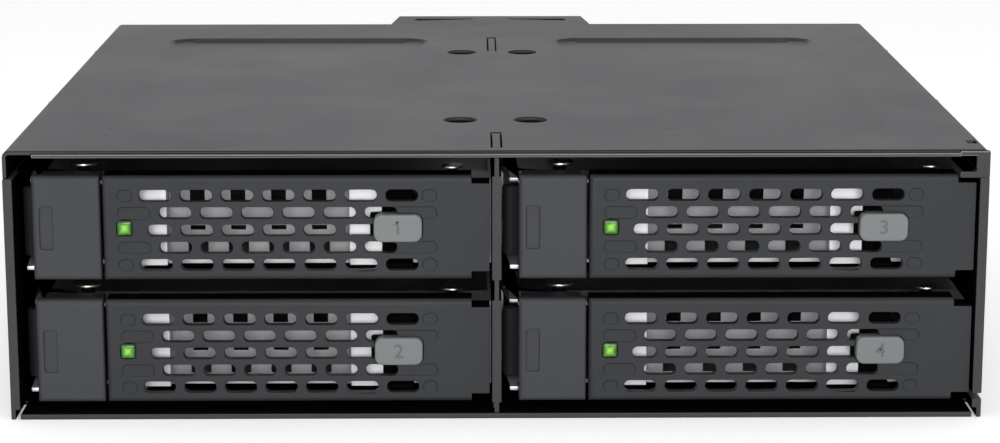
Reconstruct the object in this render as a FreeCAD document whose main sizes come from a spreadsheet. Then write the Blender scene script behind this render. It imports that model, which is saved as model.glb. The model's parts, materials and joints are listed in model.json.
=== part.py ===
"""Hot swap drive cage for four 2.5 inch drives in one half-height 5.25 inch bay.

Every sub-part is modelled in cage coordinates: x to the right from the left outer wall, y to the
rear from the front plane, z up from the underside.  Bay pieces use tray coordinates instead: x from
the tray's left side, z from the underside of its face.  Each Placement then moves the piece to the
common frame, whose origin is the middle of the underside.
"""

import FreeCAD, Part
import math
import os
import re
import Sketcher
from FreeCAD import Placement, Rotation, Vector

SIZES = {
    # the drive that a tray holds
    "drive_wide": 69.85, "drive_long": 100.2, "drive_high": 9.5, "drive_play": 0.025,
    "screw_span": 61.72, "screw_first": 14.0, "screw_pitch": 76.6, "screw_bore": 3.2,
    # the tray
    "tray_side": 0.4, "tray_plate": 0.6, "tray_under": 1.1, "tray_room": 11.6, "tray_gap": 0.1,
    "drive_front": 17.5, "flange_front": 7.3, "flange_rear": 14.5, "corner_front": 3.0,
    "corner_back": 9.0, "corner_in": 0.3, "corner_short": 0.6,
    "wall_front": 5.5, "wall_back": 9.0, "wall_left": 17.7, "recess_left": 22.0,
    "recess_in": 7.4, "wall_in": 2.5, "pipe_pass": 0.7,
    "baffle_pitch": 6.13, "baffle_first": 26.3, "baffle_hole": 2.2, "baffle_wide": 3.0,
    "baffle_low": 2.4, "baffle_low_top": 4.6, "baffle_slit": 5.95, "baffle_slit_top": 6.6,
    "baffle_high": 10.3,
    # faces and their places
    "face_high": 15.8, "face_gap": 3.1, "under_room": 2.4, "top_room": 3.9, "face_set": 1.0,
    "face_thick": 1.6, "face_round": 0.8,
    "bezel_left": 2.5, "bezel_wide": 10.1, "seam_gap": 0.4, "door_short": 0.25,
    "ledge_thick": 1.05, "ledge_rear": 9.5, "mark_in": 2.1, "mark_wide": 2.0, "mark_high": 6.6,
    "mark_deep": 0.5, "mark_round": 0.45,
    "door_deep": 4.5, "flange_top": 1.8, "flange_low": 1.0, "end_wall": 1.0,
    # door hinge
    "hinge_in": 3.5, "hinge_deep": 3.1, "hinge_pin": 1.2, "hinge_bore": 1.3, "lug_round": 1.3,
    "lug_relief": 1.6, "lug_step": 0.3,
    # ventilation slots of the door
    "slot_long": 4.8, "slot_high": 1.8, "slot_pitch": 6.1, "slot_first": 7.8, "slot_shift": 2.95,
    "row_first": 2.3, "row_pitch": 2.625, "blind_deep": 0.15, "blind_near": 2.25, "blind_short": 2.15,
    "blind_end": 7.85, "notch_long": 2.7, "notch_top": 1.2, "notch_low": 1.25,
    # lens, light pipe
    "lens_side": 2.4, "lens_in": 3.2, "lens_deep": 1.8, "pipe_wide": 1.8, "pipe_thick": 1.2,
    "pipe_drop": 0.15, "pipe_front": 4.3, "pipe_end_gap": 0.4, "led_deep": 1.0,
    # button and its spring
    "button_in": 13.65, "button_wide": 7.2, "button_high": 4.15, "button_round": 1.2,
    "button_play": 0.1, "button_proud": 0.7, "button_lip": 0.6, "button_stop": 0.6,
    "button_travel": 1.2, "stem_size": 2.0, "stem_end": 7.3, "bridge_front": 6.4,
    "bridge_thick": 0.75, "bridge_wide": 4.2, "bridge_foot": 4.9, "bridge_low": 0.3, "bridge_low_top": 1.6,
    "bridge_top": 0.9, "spring_size": 3.6, "spring_wire": 0.4,
    "spring_turns": 3,
    # latch
    "latch_pin": 1.6, "latch_bore": 1.7, "latch_in": 5.9, "latch_deep": 9.0, "latch_boss": 2.0,
    "latch_high": 4.0, "latch_nose": 3.4, "latch_gap": 0.1, "strike_high": 4.0,
    # ejector hook
    "hook_pin": 2.0, "hook_bore": 2.1, "hook_in": 8.9, "hook_deep": 12.0, "hook_boss": 2.6,
    "hook_reach": 9.5, "hook_tip": 1.2, "hook_angle": 23.6, "hook_play": 0.5,
    "hook_head": 4.2, "latch_head": 3.4, "head_thick": 0.4, "head_rise": 1.6,
    "rivet_tail": 0.3, "window_half": 3.2,
    # cage sheet metal
    "sheet_gauge": 0.7, "base_gauge": 0.8, "hem_deep": 7.0, "skirt_high": 4.2, "bend_round": 1.0,
    "lip_gauge": 0.5, "lip_step": 0.5, "lip_side": 4.4, "lip_deep": 6.0,
    "panel_side": 12.5, "panel_mid": 11.5, "panel_front": 16.6, "panel_rear": 19.0,
    "panel_drop": 1.0, "panel_round": 5.0, "panel_slope": 60.0,
    "dimple_bore": 5.2, "dimple_in": 5.5, "dimple_front": 26.3, "dimple_back": 36.7,
    "tab_front": 3.4, "tab_long": 11.4, "tab_slot": 0.5, "tab_rear": 9.0, "tab_rear_long": 16.0,
    "tongue_wide": 39.0, "tongue_taper": 1.35,
    "tongue_slot": 11.5, "tongue_slot_deep": 3.0, "tongue_slot_in": 3.4, "tongue_edge": 3.5,
    "lance_wide": 1.6, "lance_long": 8.0,
    "lance_front": 30.0, "lance_rear": 95.0, "lance_gap": 0.15,
    "corner_wide": 4.4, "corner_high": 4.2, "corner_hole": 2.4, "corner_drop": 0.9,
    "corner_slot_low": 2.9, "corner_slot_top": 3.7, "lid_slot_in": 1.7, "lid_slot_wide": 1.4,
    "lid_slot_front": 5.5, "lid_slot_rear": 8.0, "hem_low": 1.5, "divider_front": 0.3,
    "shelf_front": 13.0, "shelf_under": 1.9, "shelf_flange": 2.5, "rail_wide": 3.0,
    "rail_in": 1.0, "rail_front": 20.0, "rail_long": 92.0, "rail_gap": 0.1,
    # fixings of the cage
    "mount_bore": 2.6, "mount_front": 47.4, "mount_pitch": 79.25, "mount_low": 10.01,
    "mount_rise": 11.83, "mount_span": 139.7,
    "cap_head": 4.4, "cap_sink": 0.45, "cap_shank": 2.5, "cap_hole": 2.6, "cap_long": 2.4,
    "ear_long": 12.0, "ear_front": 40.0, "ear_rear": 38.5, "ear_high": 3.0, "rear_flange": 7.0,
    "rear_screw_low": 8.0, "rear_screw_rise": 22.0,
    # backplane
    "socket_deep": 6.0, "board_gauge": 1.6, "rear_room": 8.2, "board_edge": 0.4,
    "socket_wide": 38.0, "socket_high": 5.0, "socket_shift": 9.0, "socket_rise": 1.0,
    "socket_mouth": 2.6, "socket_wall": 1.6, "air_high": 5.0, "air_long": 52.0,
    "data_wide": 14.0, "data_high": 6.0, "data_first": 13.0, "data_pitch": 20.0,
    "power_wide": 24.0, "power_high": 7.0, "power_first": 25.0, "port_low": 12.0,
    "port_rise": 16.0, "port_out": 0.9, "port_gap": 0.2, "port_wall": 1.2, "port_mouth": 5.0,
    # fan
    "fan_size": 40.0, "fan_deep": 10.0, "fan_gap": 0.15, "fan_rim": 1.25, "fan_hub": 20.0,
    "fan_corner": 4.0, "fan_hole": 4.3, "strut_wide": 1.8, "fan_round": 3.0, "fan_back": 1.5,
    "blade_tip": 0.5,
    "blade_gauge": 0.8, "blade_tilt": 38.0, "blades": 7, "shaft_size": 2.0, "shaft_bore": 2.1,
    "guard_gauge": 0.6, "guard_band": 1.2, "guard_rings": 3,
    "fan_screw": 3.0, "fan_head": 6.0, "fan_head_high": 0.8,
    # fan speed switch
    "switch_side": 38.0, "switch_wide": 10.0, "switch_high": 4.6, "switch_deep": 6.0,
    "switch_mid": 20.0, "knob_wide": 2.4, "knob_high": 2.6, "knob_out": 1.8, "switch_travel": 4.0,
    "switch_play": 0.1,
}

# Sizes that follow from the driving ones.
DERIVED = {
    "TRAY_W": "(drive_wide + 2 * drive_play + 2 * tray_side)",
    "COLUMN": "(TRAY_W + 2 * tray_gap + 2 * sheet_gauge)",
    "BAY": "(face_high + face_gap)",
    "CAGE_W": "(2 * TRAY_W + 4 * tray_gap + 6 * sheet_gauge)",
    "CAGE_H": "(under_room + BAY + face_high + top_room)",
    "TRAY_X": "(2 * sheet_gauge + tray_gap)",
    "FLOOR": "(tray_under + tray_plate)",
    "ROOF": "(FLOOR + tray_room)",
    "TRAY_TOP": "(ROOF + tray_plate)",
    "TRAY_END": "(drive_front + drive_long)",
    "BOARD": "(TRAY_END + socket_deep)",
    "BOARD_BACK": "(BOARD + board_gauge)",
    "CAGE_D": "(BOARD_BACK + rear_room)",
    "TOTAL_D": "(CAGE_D + fan_deep + guard_gauge + fan_head_high)",
    "COVER": "(CAGE_H - sheet_gauge)",
    "WALL_TOP": "(CAGE_H - skirt_high)",
    "SHELF": "(under_room + BAY + tray_under - shelf_under - sheet_gauge)",
    "FACE_BACK": "(face_set + face_thick)",
    "DOOR_X": "(bezel_left + bezel_wide + seam_gap)",
    "DOOR_END": "(TRAY_W - door_short)",
    "HINGE_X": "(DOOR_X + hinge_in)",
    "BUTTON_X": "(DOOR_END - button_in)",
    "RECESS_RIGHT": "(BUTTON_X - recess_in)",
    "WALL_RIGHT": "(BUTTON_X - wall_in)",
    "LENS_X": "(DOOR_X + lens_in)",
    "MID": "(face_high / 2)",
    "LATCH_X": "(TRAY_W - latch_in)",
    "PIPE_X": "(HINGE_X - 0.1)",
    "STRIKE": "(DOOR_END - end_wall - 0.8)",
    "FAN_LOW": "(COVER - fan_gap - fan_size)",
    "FAN_MID": "(FAN_LOW + fan_size / 2)",
    "FAN_BORE": "(fan_size - 2 * fan_rim)",
    "FAN_PITCH": "(fan_size - 2 * fan_corner)",
    "FAN_BACK": "(CAGE_D + fan_deep)",
}

doc = FreeCAD.newDocument("hot_swap_drive_cage")
sheet = doc.addObject("Spreadsheet::Sheet", "Sizes")
for row, (alias, number) in enumerate(SIZES.items(), 1):
    sheet.set(f"A{row}", alias)
    sheet.set(f"B{row}", str(number))
    sheet.setAlias(f"B{row}", alias)
doc.recompute()

BAYS = {1: (0, 1), 2: (0, 0), 3: (1, 1), 4: (1, 0)}  # bay: (column, level)
nodes = []


def bound(text):
    """An expression on the sheet, from a text of size names and derived names."""
    text = str(text)
    while re.search(r"\b[A-Z][A-Z_]+\b", text):
        text = re.sub(r"\b[A-Z][A-Z_]+\b", lambda found: DERIVED[found.group()], text)
    return re.sub(r"\b[a-z]+(?:_[a-z]+)*\b",
                  lambda found: "Sizes." + found.group() if found.group() in SIZES else found.group(), text)


def number(text):
    """What such a text comes to, in millimetres or degrees."""
    return float(sheet.evalExpression(bound(text)))


def box(x, y, z):
    """A box between three pairs of expressions."""
    item = doc.addObject("Part::Box", "Box")
    for size, axis, (low, high) in zip(("Length", "Width", "Height"), "xyz", (x, y, z)):
        item.setExpression(size, bound(f"({high}) - ({low})"))
        item.setExpression(f"Placement.Base.{axis}", bound(low))
    return item


TURNS = {"x": Rotation(Vector(0, 1, 0), 90), "y": Rotation(Vector(1, 0, 0), -90), "z": Rotation()}


def rod(axis, centre, span, diameter):
    """A cylinder along an axis: centre on the two other axes, span along its own."""
    item = doc.addObject("Part::Cylinder", "Rod")
    item.Placement = Placement(Vector(), TURNS[axis])
    item.setExpression("Radius", bound(f"({diameter}) / 2"))
    item.setExpression("Height", bound(f"({span[1]}) - ({span[0]})"))
    places = dict(zip([a for a in "xyz" if a != axis], centre))
    places[axis] = span[0]
    for name, text in places.items():
        item.setExpression(f"Placement.Base.{name}", bound(text))
    return item


def fuse(items):
    item = doc.addObject("Part::MultiFuse", "Fuse")
    item.Shapes = items
    return item


def cut(base, tools):
    item = doc.addObject("Part::Cut", "Cut")
    item.Base = base
    item.Tool = tools[0] if len(tools) == 1 else fuse(tools)
    return item


def group(items):
    item = doc.addObject("Part::Compound", "Group")
    item.Links = items
    return item


def place(item, label, x="0", z="0"):
    """Names a sub-part and moves it into the common frame."""
    item.Label = label
    item.setExpression("Placement.Base.x", bound(f"{x} - CAGE_W / 2"))
    item.setExpression("Placement.Base.y", bound("-TOTAL_D / 2"))
    item.setExpression("Placement.Base.z", bound(z))
    nodes.append(item)


def bay_place(master, name):
    """The same sub-part in each of the four bays: bay 1 holds the master, the others its copies."""
    place(master, f"{name}_1", "TRAY_X", "under_room + BAY")
    for bay, (column, level) in list(BAYS.items())[1:]:
        copy = group([master])
        copy.Label = f"{name}_{bay}"
        copy.setExpression("Placement.Base.x", bound(f"{column} * COLUMN"))
        copy.setExpression("Placement.Base.z", bound(f"-{1 - level} * BAY"))
        nodes.append(copy)


def in_bays(build):
    """Cage pieces made once for each bay: build(x, z) gets the tray's left side and face underside."""
    return [build(f"(TRAY_X + {column} * COLUMN)", f"(under_room + {level} * BAY)")
            for column, level in BAYS.values()]


def new_body(name):
    return doc.addObject("PartDesign::Body", name)


def sketch(body, role, offset):
    """A sketch on one of the body's own planes, at a distance along that plane's normal."""
    item = body.newObject("Sketcher::SketchObject", "Sketch")
    plane = next(f for f in body.Origin.OriginFeatures if f.Role == role)
    item.AttachmentSupport = [(plane, "")]
    item.MapMode = "FlatFace"
    item.setExpression("AttachmentOffset.Base.z", bound(offset))
    return item


def rectangle(target, left, low, right, high):
    """Four lines held by four distances from the sketch's origin."""
    x0, y0, x1, y1 = (number(text) for text in (left, low, right, high))
    corners = [Vector(x0, y0, 0), Vector(x1, y0, 0), Vector(x1, y1, 0), Vector(x0, y1, 0)]
    first = target.addGeometry(
        [Part.LineSegment(corners[i], corners[(i + 1) % 4]) for i in range(4)])[0]
    for i in range(4):
        target.addConstraint(Sketcher.Constraint("Coincident", first + i, 2, first + (i + 1) % 4, 1))
        target.addConstraint(Sketcher.Constraint(("Horizontal", "Vertical")[i % 2], first + i))
    for kind, corner, text in (("DistanceX", 0, left), ("DistanceY", 0, low),
                               ("DistanceX", 2, right), ("DistanceY", 2, high)):
        index = target.addConstraint(
            Sketcher.Constraint(kind, -1, 1, first + corner, 1, max(number(text), 0.001)))
        target.setExpression(f"Constraints[{index}]", bound(text))


def outline(target, points):
    """A closed outline through (x, y) or (x, y, radius) corners, with arcs where a radius is given."""
    corners = [Vector(number(p[0]), number(p[1]), 0) for p in points]
    rounds = [number(p[2]) if len(p) > 2 else 0.0 for p in points]
    starts, ends = [], []
    for i, corner in enumerate(corners):
        before = (corners[i - 1] - corner).normalize()
        after = (corners[(i + 1) % len(corners)] - corner).normalize()
        reach = rounds[i] / math.tan(before.getAngle(after) / 2)
        starts.append(corner + before * reach)
        ends.append(corner + after * reach)
        if rounds[i]:
            inward = (before + after).normalize()
            middle = corner + inward * (rounds[i] / math.sin(before.getAngle(after) / 2) - rounds[i])
            target.addGeometry(Part.Arc(starts[i], middle, ends[i]))
    for i in range(len(corners)):
        target.addGeometry(Part.LineSegment(ends[i], starts[(i + 1) % len(corners)]))


def rounded(target, left, low, right, high, radius):
    outline(target, [(left, low, radius), (right, low, radius), (right, high, radius),
                     (left, high, radius)])


def circle(target, x, y, diameter):
    """A circle whose centre and diameter are held by the sheet."""
    index = target.addGeometry(
        Part.Circle(Vector(number(x), number(y), 0), Vector(0, 0, 1), number(diameter) / 2))
    for kind, text in (("DistanceX", x), ("DistanceY", y)):
        held = target.addConstraint(Sketcher.Constraint(kind, -1, 1, index, 3, max(number(text), 0.001)))
        target.setExpression(f"Constraints[{held}]", bound(text))
    held = target.addConstraint(Sketcher.Constraint("Diameter", index, number(diameter)))
    target.setExpression(f"Constraints[{held}]", bound(diameter))


def pad(body, profile, length, back=False, taper=None):
    item = body.newObject("PartDesign::Pad", "Pad")
    item.Profile = profile
    item.Reversed = back
    item.setExpression("Length", bound(length))
    if taper:
        item.setExpression("TaperAngle", bound(taper))
    return item


def pocket(body, profile, length, back=False, taper=None):
    """Cuts against the sketch's normal, or along it with back."""
    item = body.newObject("PartDesign::Pocket", "Pocket")
    item.Profile = profile
    item.Reversed = back
    item.setExpression("Length", bound(length))
    if taper:
        item.setExpression("TaperAngle", bound(taper))
    return item


# ---------------------------------------------------------------- cage

def cap_places():
    """Depth and height of the flat screws that hold the cover's skirts."""
    return [("ear_front + ear_long / 2", "WALL_TOP + skirt_high / 2 - 0.3"),
            ("CAGE_D - ear_rear + ear_long / 2", "WALL_TOP + skirt_high / 2 - 0.3")]


def rear_places():
    """Depth and height of the flat screws that hold the rear panel's side flanges."""
    return [("CAGE_D - rear_flange / 2", "rear_screw_low"),
            ("CAGE_D - rear_flange / 2", "rear_screw_low + rear_screw_rise")]


def flat_screws(places):
    """Flat screws through both sides, heads flush with the outer faces."""
    items = []
    for y, z in places:
        for outer, inner, deep in (("0", "cap_sink", "cap_long"),
                                   ("CAGE_W", "CAGE_W - cap_sink", "CAGE_W - cap_long")):
            head = rod("x", (y, z), sorted((outer, inner), key=number), "cap_head - 0.02")
            shank = rod("x", (y, z), sorted((inner, deep), key=number), "cap_shank")
            items.append(fuse([head, shank]))
    return items


def screw_sinks(places):
    """Countersinks and clearance holes for those screws."""
    items = []
    for y, z in places:
        items.append(rod("x", (y, z), ("0", "cap_sink"), "cap_head"))
        items.append(rod("x", (y, z), ("CAGE_W - cap_sink", "CAGE_W"), "cap_head"))
        items.append(rod("x", (y, z), ("0", "3 * sheet_gauge"), "cap_hole"))
        items.append(rod("x", (y, z), ("CAGE_W - 3 * sheet_gauge", "CAGE_W"), "cap_hole"))
    return items


def lance_z(z):
    """Height span of a hold-down lance, just above a tray's side."""
    return f"{z} + TRAY_TOP + lance_gap", f"{z} + TRAY_TOP + lance_gap + sheet_gauge"


def chassis():
    """Floor and both sides, folded from one sheet, with hemmed front edges."""
    solids = [box(("0", "CAGE_W"), ("0", "CAGE_D"), ("0", "base_gauge"))]
    cuts = []
    for outer, inner, hem in (
            ("0", "sheet_gauge", "2 * sheet_gauge"),
            ("CAGE_W", "CAGE_W - sheet_gauge", "CAGE_W - 2 * sheet_gauge")):
        wall = tuple(sorted((outer, inner), key=number))
        fold = tuple(sorted((inner, hem), key=number))
        solids.append(box(wall, ("0", "CAGE_D"), ("0", "WALL_TOP")))
        solids.append(box(fold, ("0", "hem_deep"), ("hem_low", "WALL_TOP")))
        for front in ("ear_front", "CAGE_D - ear_rear"):
            solids.append(box(fold, (front, f"{front} + ear_long"),
                              ("WALL_TOP - ear_high", "COVER - 0.3")))
        cuts.append(box(fold, ("-1", "hem_deep + 1"), ("-1", "hem_low")))
    for _, (column, level) in BAYS.items():
        z = f"(under_room + {level} * BAY)"
        side = ("sheet_gauge", "sheet_gauge + lance_wide")
        if column:
            side = ("CAGE_W - sheet_gauge - lance_wide", "CAGE_W - sheet_gauge")
        for front in ("lance_front", "lance_rear"):
            solids.append(box(side, (front, f"{front} + lance_long"), lance_z(z)))
    cuts.append(box(("CAGE_W - 2 * sheet_gauge - 0.1", "CAGE_W + 1"), ("-1", "hem_deep + 1"),
                    ("corner_slot_low", "corner_slot_top")))
    for rise in ("mount_low", "mount_low + mount_rise"):
        for y in ("mount_front", "mount_front + mount_pitch"):
            cuts.append(rod("x", (y, rise), ("-1", "sheet_gauge + 0.1"), "mount_bore"))
            cuts.append(rod("x", (y, rise), ("CAGE_W - sheet_gauge - 0.1", "CAGE_W + 1"), "mount_bore"))
    for y in ("mount_front", "mount_front + mount_pitch"):
        for side in ("-", "+"):
            cuts.append(rod("z", (f"CAGE_W / 2 {side} mount_span / 2", y), ("-1", "base_gauge + 1"),
                            "mount_bore"))
    for y, long in (("tab_front", "tab_long"), ("BOARD - tab_rear - tab_rear_long", "tab_rear_long")):
        cuts.append(box(("CAGE_W / 2 - sheet_gauge / 2 - 0.05", "CAGE_W / 2 + sheet_gauge / 2 + 0.05"),
                        (f"{y} - 0.1", f"{y} + {long} + 0.1"), ("-1", "base_gauge + 1")))
    cuts += screw_sinks(cap_places()) + screw_sinks(rear_places())
    place(cut(fuse(solids), cuts), "chassis")


def top_cover():
    """Lid with side skirts, a stepped front lip, two pressed panels and the tongue over the fan."""
    body = new_body("TopCover")
    section = sketch(body, "XZ_Plane", "-lip_step")
    outline(section, [("0", "WALL_TOP"), ("sheet_gauge", "WALL_TOP"),
                      ("sheet_gauge", "COVER", "bend_round - sheet_gauge"),
                      ("CAGE_W - sheet_gauge", "COVER", "bend_round - sheet_gauge"),
                      ("CAGE_W - sheet_gauge", "WALL_TOP"), ("CAGE_W", "WALL_TOP"),
                      ("CAGE_W", "CAGE_H", "bend_round"), ("0", "CAGE_H", "bend_round")])
    pad(body, section, "CAGE_D - lip_step", back=True)
    lip = sketch(body, "XZ_Plane", "0")
    rectangle(lip, "lip_side", "COVER + 0.2 - lip_gauge", "CAGE_W - lip_side", "COVER + 0.2")
    pad(body, lip, "lip_deep", back=True)
    corner = sketch(body, "XZ_Plane", "0")
    rectangle(corner, "CAGE_W - corner_wide", "CAGE_H - corner_high", "CAGE_W", "CAGE_H - 0.2")
    pad(body, corner, "sheet_gauge", back=True)
    tongue = sketch(body, "XY_Plane", "COVER")
    outline(tongue, [("CAGE_W / 2 - tongue_wide / 2", "CAGE_D - 1"),
                     ("CAGE_W / 2 + tongue_wide / 2", "CAGE_D - 1"),
                     ("CAGE_W / 2 + tongue_wide / 2", "CAGE_D"),
                     ("CAGE_W / 2 + tongue_wide / 2 - tongue_taper", "TOTAL_D"),
                     ("CAGE_W / 2 - tongue_wide / 2 + tongue_taper", "TOTAL_D"),
                     ("CAGE_W / 2 - tongue_wide / 2", "CAGE_D")])
    pad(body, tongue, "sheet_gauge")
    for left, right in (("panel_side", "CAGE_W / 2 - panel_mid"),
                        ("CAGE_W / 2 + panel_mid", "CAGE_W - panel_side")):
        bulge = sketch(body, "XY_Plane", "COVER + 0.01")
        rounded(bulge, left, "panel_front", right, "CAGE_D - panel_rear", "panel_round")
        pad(body, bulge, "panel_drop + 0.01", back=True, taper="-panel_slope")
        dish = sketch(body, "XY_Plane", "CAGE_H")
        rounded(dish, left, "panel_front", right, "CAGE_D - panel_rear", "panel_round")
        pocket(body, dish, "panel_drop", taper="-panel_slope")
    openings = sketch(body, "XY_Plane", "CAGE_H + 1")
    for side in ("-", "+"):
        for y in ("dimple_front", "CAGE_D - dimple_back"):
            circle(openings, f"CAGE_W / 2 {side} dimple_in", y, "dimple_bore")
    half = "(sheet_gauge / 2 + tab_slot)"
    for y, long in (("tab_front", "tab_long"), ("BOARD - tab_rear - tab_rear_long", "tab_rear_long")):
        rectangle(openings, f"CAGE_W / 2 - {half}", f"{y} - 0.6", f"CAGE_W / 2 + {half}",
                  f"{y} + {long} + 0.6")
    for side in ("-", "+"):
        near = f"CAGE_W / 2 {side} tongue_slot_in"
        far = f"CAGE_W / 2 {side} (tongue_slot_in + tongue_slot)"
        rear = "TOTAL_D - tongue_edge"
        outline(openings, [(near, f"{rear} - tongue_slot_deep / 3", "0.4"), (near, rear, "0.4"),
                           (far, rear, "0.9"), (far, f"{rear} - tongue_slot_deep", "0.9")])
    rectangle(openings, "CAGE_W - lid_slot_in - lid_slot_wide / 2", "lid_slot_front",
              "CAGE_W - lid_slot_in + lid_slot_wide / 2", "lid_slot_rear")
    pocket(body, openings, "2 + sheet_gauge + panel_drop")
    hole = sketch(body, "XZ_Plane", "1")
    rectangle(hole, "CAGE_W - corner_wide", "CAGE_H - corner_drop - corner_hole",
              "CAGE_W - corner_wide + corner_hole", "CAGE_H - corner_drop")
    pocket(body, hole, "1.2 + sheet_gauge")
    lid = cut(body, screw_sinks(cap_places()))
    place(lid, "top_cover")


def centre_divider():
    """Upright sheet between the columns, hemmed beside the faces, tabbed into floor and lid."""
    thin = ("CAGE_W / 2 - sheet_gauge / 2", "CAGE_W / 2 + sheet_gauge / 2")
    hem = ("CAGE_W / 2 - sheet_gauge", "CAGE_W / 2 + sheet_gauge")
    solids = [box(thin, ("divider_front", "BOARD - 0.5"), ("base_gauge", "COVER"))]
    cuts = []
    for level in (0, 1):
        z = f"(under_room + {level} * BAY)"
        solids.append(box(hem, ("divider_front", "hem_deep"), (z, f"{z} + face_high")))
        cuts.append(box(("CAGE_W / 2 - 1", "CAGE_W / 2 + 1"),
                        ("hook_deep - window_half", "hook_deep + window_half"),
                        (f"{z} + FLOOR", f"{z} + ROOF")))
        for front in ("lance_front", "lance_rear"):
            solids.append(box(("CAGE_W / 2 - sheet_gauge / 2 - lance_wide",
                               "CAGE_W / 2 + sheet_gauge / 2 + lance_wide"),
                              (front, f"{front} + lance_long"), lance_z(z)))
    for y, long in (("tab_front", "tab_long"), ("BOARD - tab_rear - tab_rear_long", "tab_rear_long")):
        solids.append(box(thin, (y, f"{y} + {long}"), ("0", "CAGE_H - 0.1")))
    cuts.append(box(("CAGE_W / 2 - 1", "CAGE_W / 2 + 1"), ("-1", "tab_front - 0.5"),
                    ("COVER + 0.1 - lip_gauge", "CAGE_H")))
    place(cut(fuse(solids), cuts), "centre_divider")


def middle_shelves():
    """Two shelves that carry the upper trays, flanged down the outer walls."""
    items = []
    for wall, fold, inner in (
            ("sheet_gauge", "2 * sheet_gauge", "CAGE_W / 2 - sheet_gauge / 2"),
            ("CAGE_W - sheet_gauge", "CAGE_W - 2 * sheet_gauge", "CAGE_W / 2 + sheet_gauge / 2")):
        plate = box(sorted((wall, inner), key=number), ("shelf_front", "BOARD - 0.5"),
                    ("SHELF", "SHELF + sheet_gauge"))
        flange = box(sorted((wall, fold), key=number), ("shelf_front + 6", "BOARD - 0.5"),
                     ("SHELF - shelf_flange + 0.5", "SHELF"))
        items.append(fuse([plate, flange]))
    place(group(items), "middle_shelves")


def guide_rails():
    """Eight plastic strips on which the trays run."""
    items = []
    for column, level in BAYS.values():
        low = "SHELF + sheet_gauge" if level else "base_gauge"
        high = f"under_room + {level} * BAY + tray_under - rail_gap"
        left = f"(TRAY_X + {column} * COLUMN)"
        for x in (f"{left} + rail_in", f"{left} + TRAY_W - rail_in - rail_wide"):
            items.append(box((x, f"{x} + rail_wide"), ("rail_front", "rail_front + rail_long"),
                             (low, high)))
    place(group(items), "guide_rails")


def ports(name, wide, high, columns):
    """Connectors soldered to the back of the board that look out through the rear panel."""
    items = []
    for x in columns:
        for z in ("port_low", "port_low + port_rise"):
            shell = box((f"{x} - {wide} / 2", f"{x} + {wide} / 2"), ("BOARD_BACK", "CAGE_D + port_out"),
                        (f"{z} - {high} / 2", f"{z} + {high} / 2"))
            mouth = box((f"{x} - {wide} / 2 + port_wall", f"{x} + {wide} / 2 - port_wall"),
                        ("CAGE_D + port_out - port_mouth", "CAGE_D + port_out + 1"),
                        (f"{z} - {high} / 2 + port_wall", f"{z} + {high} / 2 - port_wall"))
            blade = box((f"{x} - {wide} / 2 + 2 * port_wall", f"{x} + {wide} / 2 - 2 * port_wall"),
                        ("CAGE_D + port_out - port_mouth", "CAGE_D + port_out - 0.6"),
                        (f"{z} - 0.5", f"{z} + 0.5"))
            items.append(fuse([cut(shell, [mouth]), blade]))
    place(group(items), name)


DATA_COLUMNS = ("data_first", "data_first + data_pitch")
POWER_COLUMNS = ("CAGE_W - power_first + 4",)


def rear_panel():
    """Rear wall with the fan opening, connector windows and side flanges."""
    plate = box(("sheet_gauge", "CAGE_W - sheet_gauge"), ("CAGE_D - sheet_gauge", "CAGE_D"),
                ("base_gauge", "COVER + sheet_gauge - bend_round"))
    flanges = [box(("sheet_gauge", "2 * sheet_gauge"), ("CAGE_D - rear_flange", "CAGE_D"),
                   ("base_gauge + 1", "WALL_TOP - 1")),
               box(("CAGE_W - 2 * sheet_gauge", "CAGE_W - sheet_gauge"),
                   ("CAGE_D - rear_flange", "CAGE_D"), ("base_gauge + 1", "WALL_TOP - 1"))]
    cuts = [rod("y", ("CAGE_W / 2", "FAN_MID"), ("CAGE_D - 2", "CAGE_D + 1"), "FAN_BORE")]
    for columns, wide, high in ((DATA_COLUMNS, "data_wide", "data_high"),
                                (POWER_COLUMNS, "power_wide", "power_high")):
        for x in columns:
            for z in ("port_low", "port_low + port_rise"):
                cuts.append(box((f"{x} - {wide} / 2 - port_gap", f"{x} + {wide} / 2 + port_gap"),
                                ("CAGE_D - 2", "CAGE_D + 1"),
                                (f"{z} - {high} / 2 - port_gap", f"{z} + {high} / 2 + port_gap")))
    for dx in ("-", "+"):
        for dz in ("-", "+"):
            cuts.append(rod("y", (f"CAGE_W / 2 {dx} FAN_PITCH / 2", f"FAN_MID {dz} FAN_PITCH / 2"),
                            ("CAGE_D - 2", "CAGE_D + 1"), "fan_screw"))
    run = "(knob_wide + switch_travel + 2 * switch_play)"
    cuts.append(box((f"CAGE_W - switch_side - {run} / 2", f"CAGE_W - switch_side + {run} / 2"),
                    ("CAGE_D - 2", "CAGE_D + 1"),
                    ("switch_mid - knob_high / 2 - switch_play",
                     "switch_mid + knob_high / 2 + switch_play")))
    cuts += screw_sinks(rear_places())
    place(cut(fuse([plate] + flanges), cuts), "rear_panel")


def backplane_board():
    """Circuit board across the rear, with air slots between the drive sockets."""
    board = box(("2 * sheet_gauge + board_edge", "CAGE_W - 2 * sheet_gauge - board_edge"),
                ("BOARD", "BOARD_BACK"), ("base_gauge + board_edge", "COVER - panel_drop - board_edge"))
    cuts = []
    for column, level in BAYS.values():
        x = f"(TRAY_X + {column} * COLUMN + TRAY_W / 2)"
        z = f"(under_room + {level} * BAY + FLOOR + socket_rise + socket_high + 1.2)"
        cuts.append(box((f"{x} - air_long / 2", f"{x} + air_long / 2"), ("BOARD - 1", "BOARD_BACK + 1"),
                        (z, f"{z} + air_high")))
    place(cut(board, cuts), "backplane_board")


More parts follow.
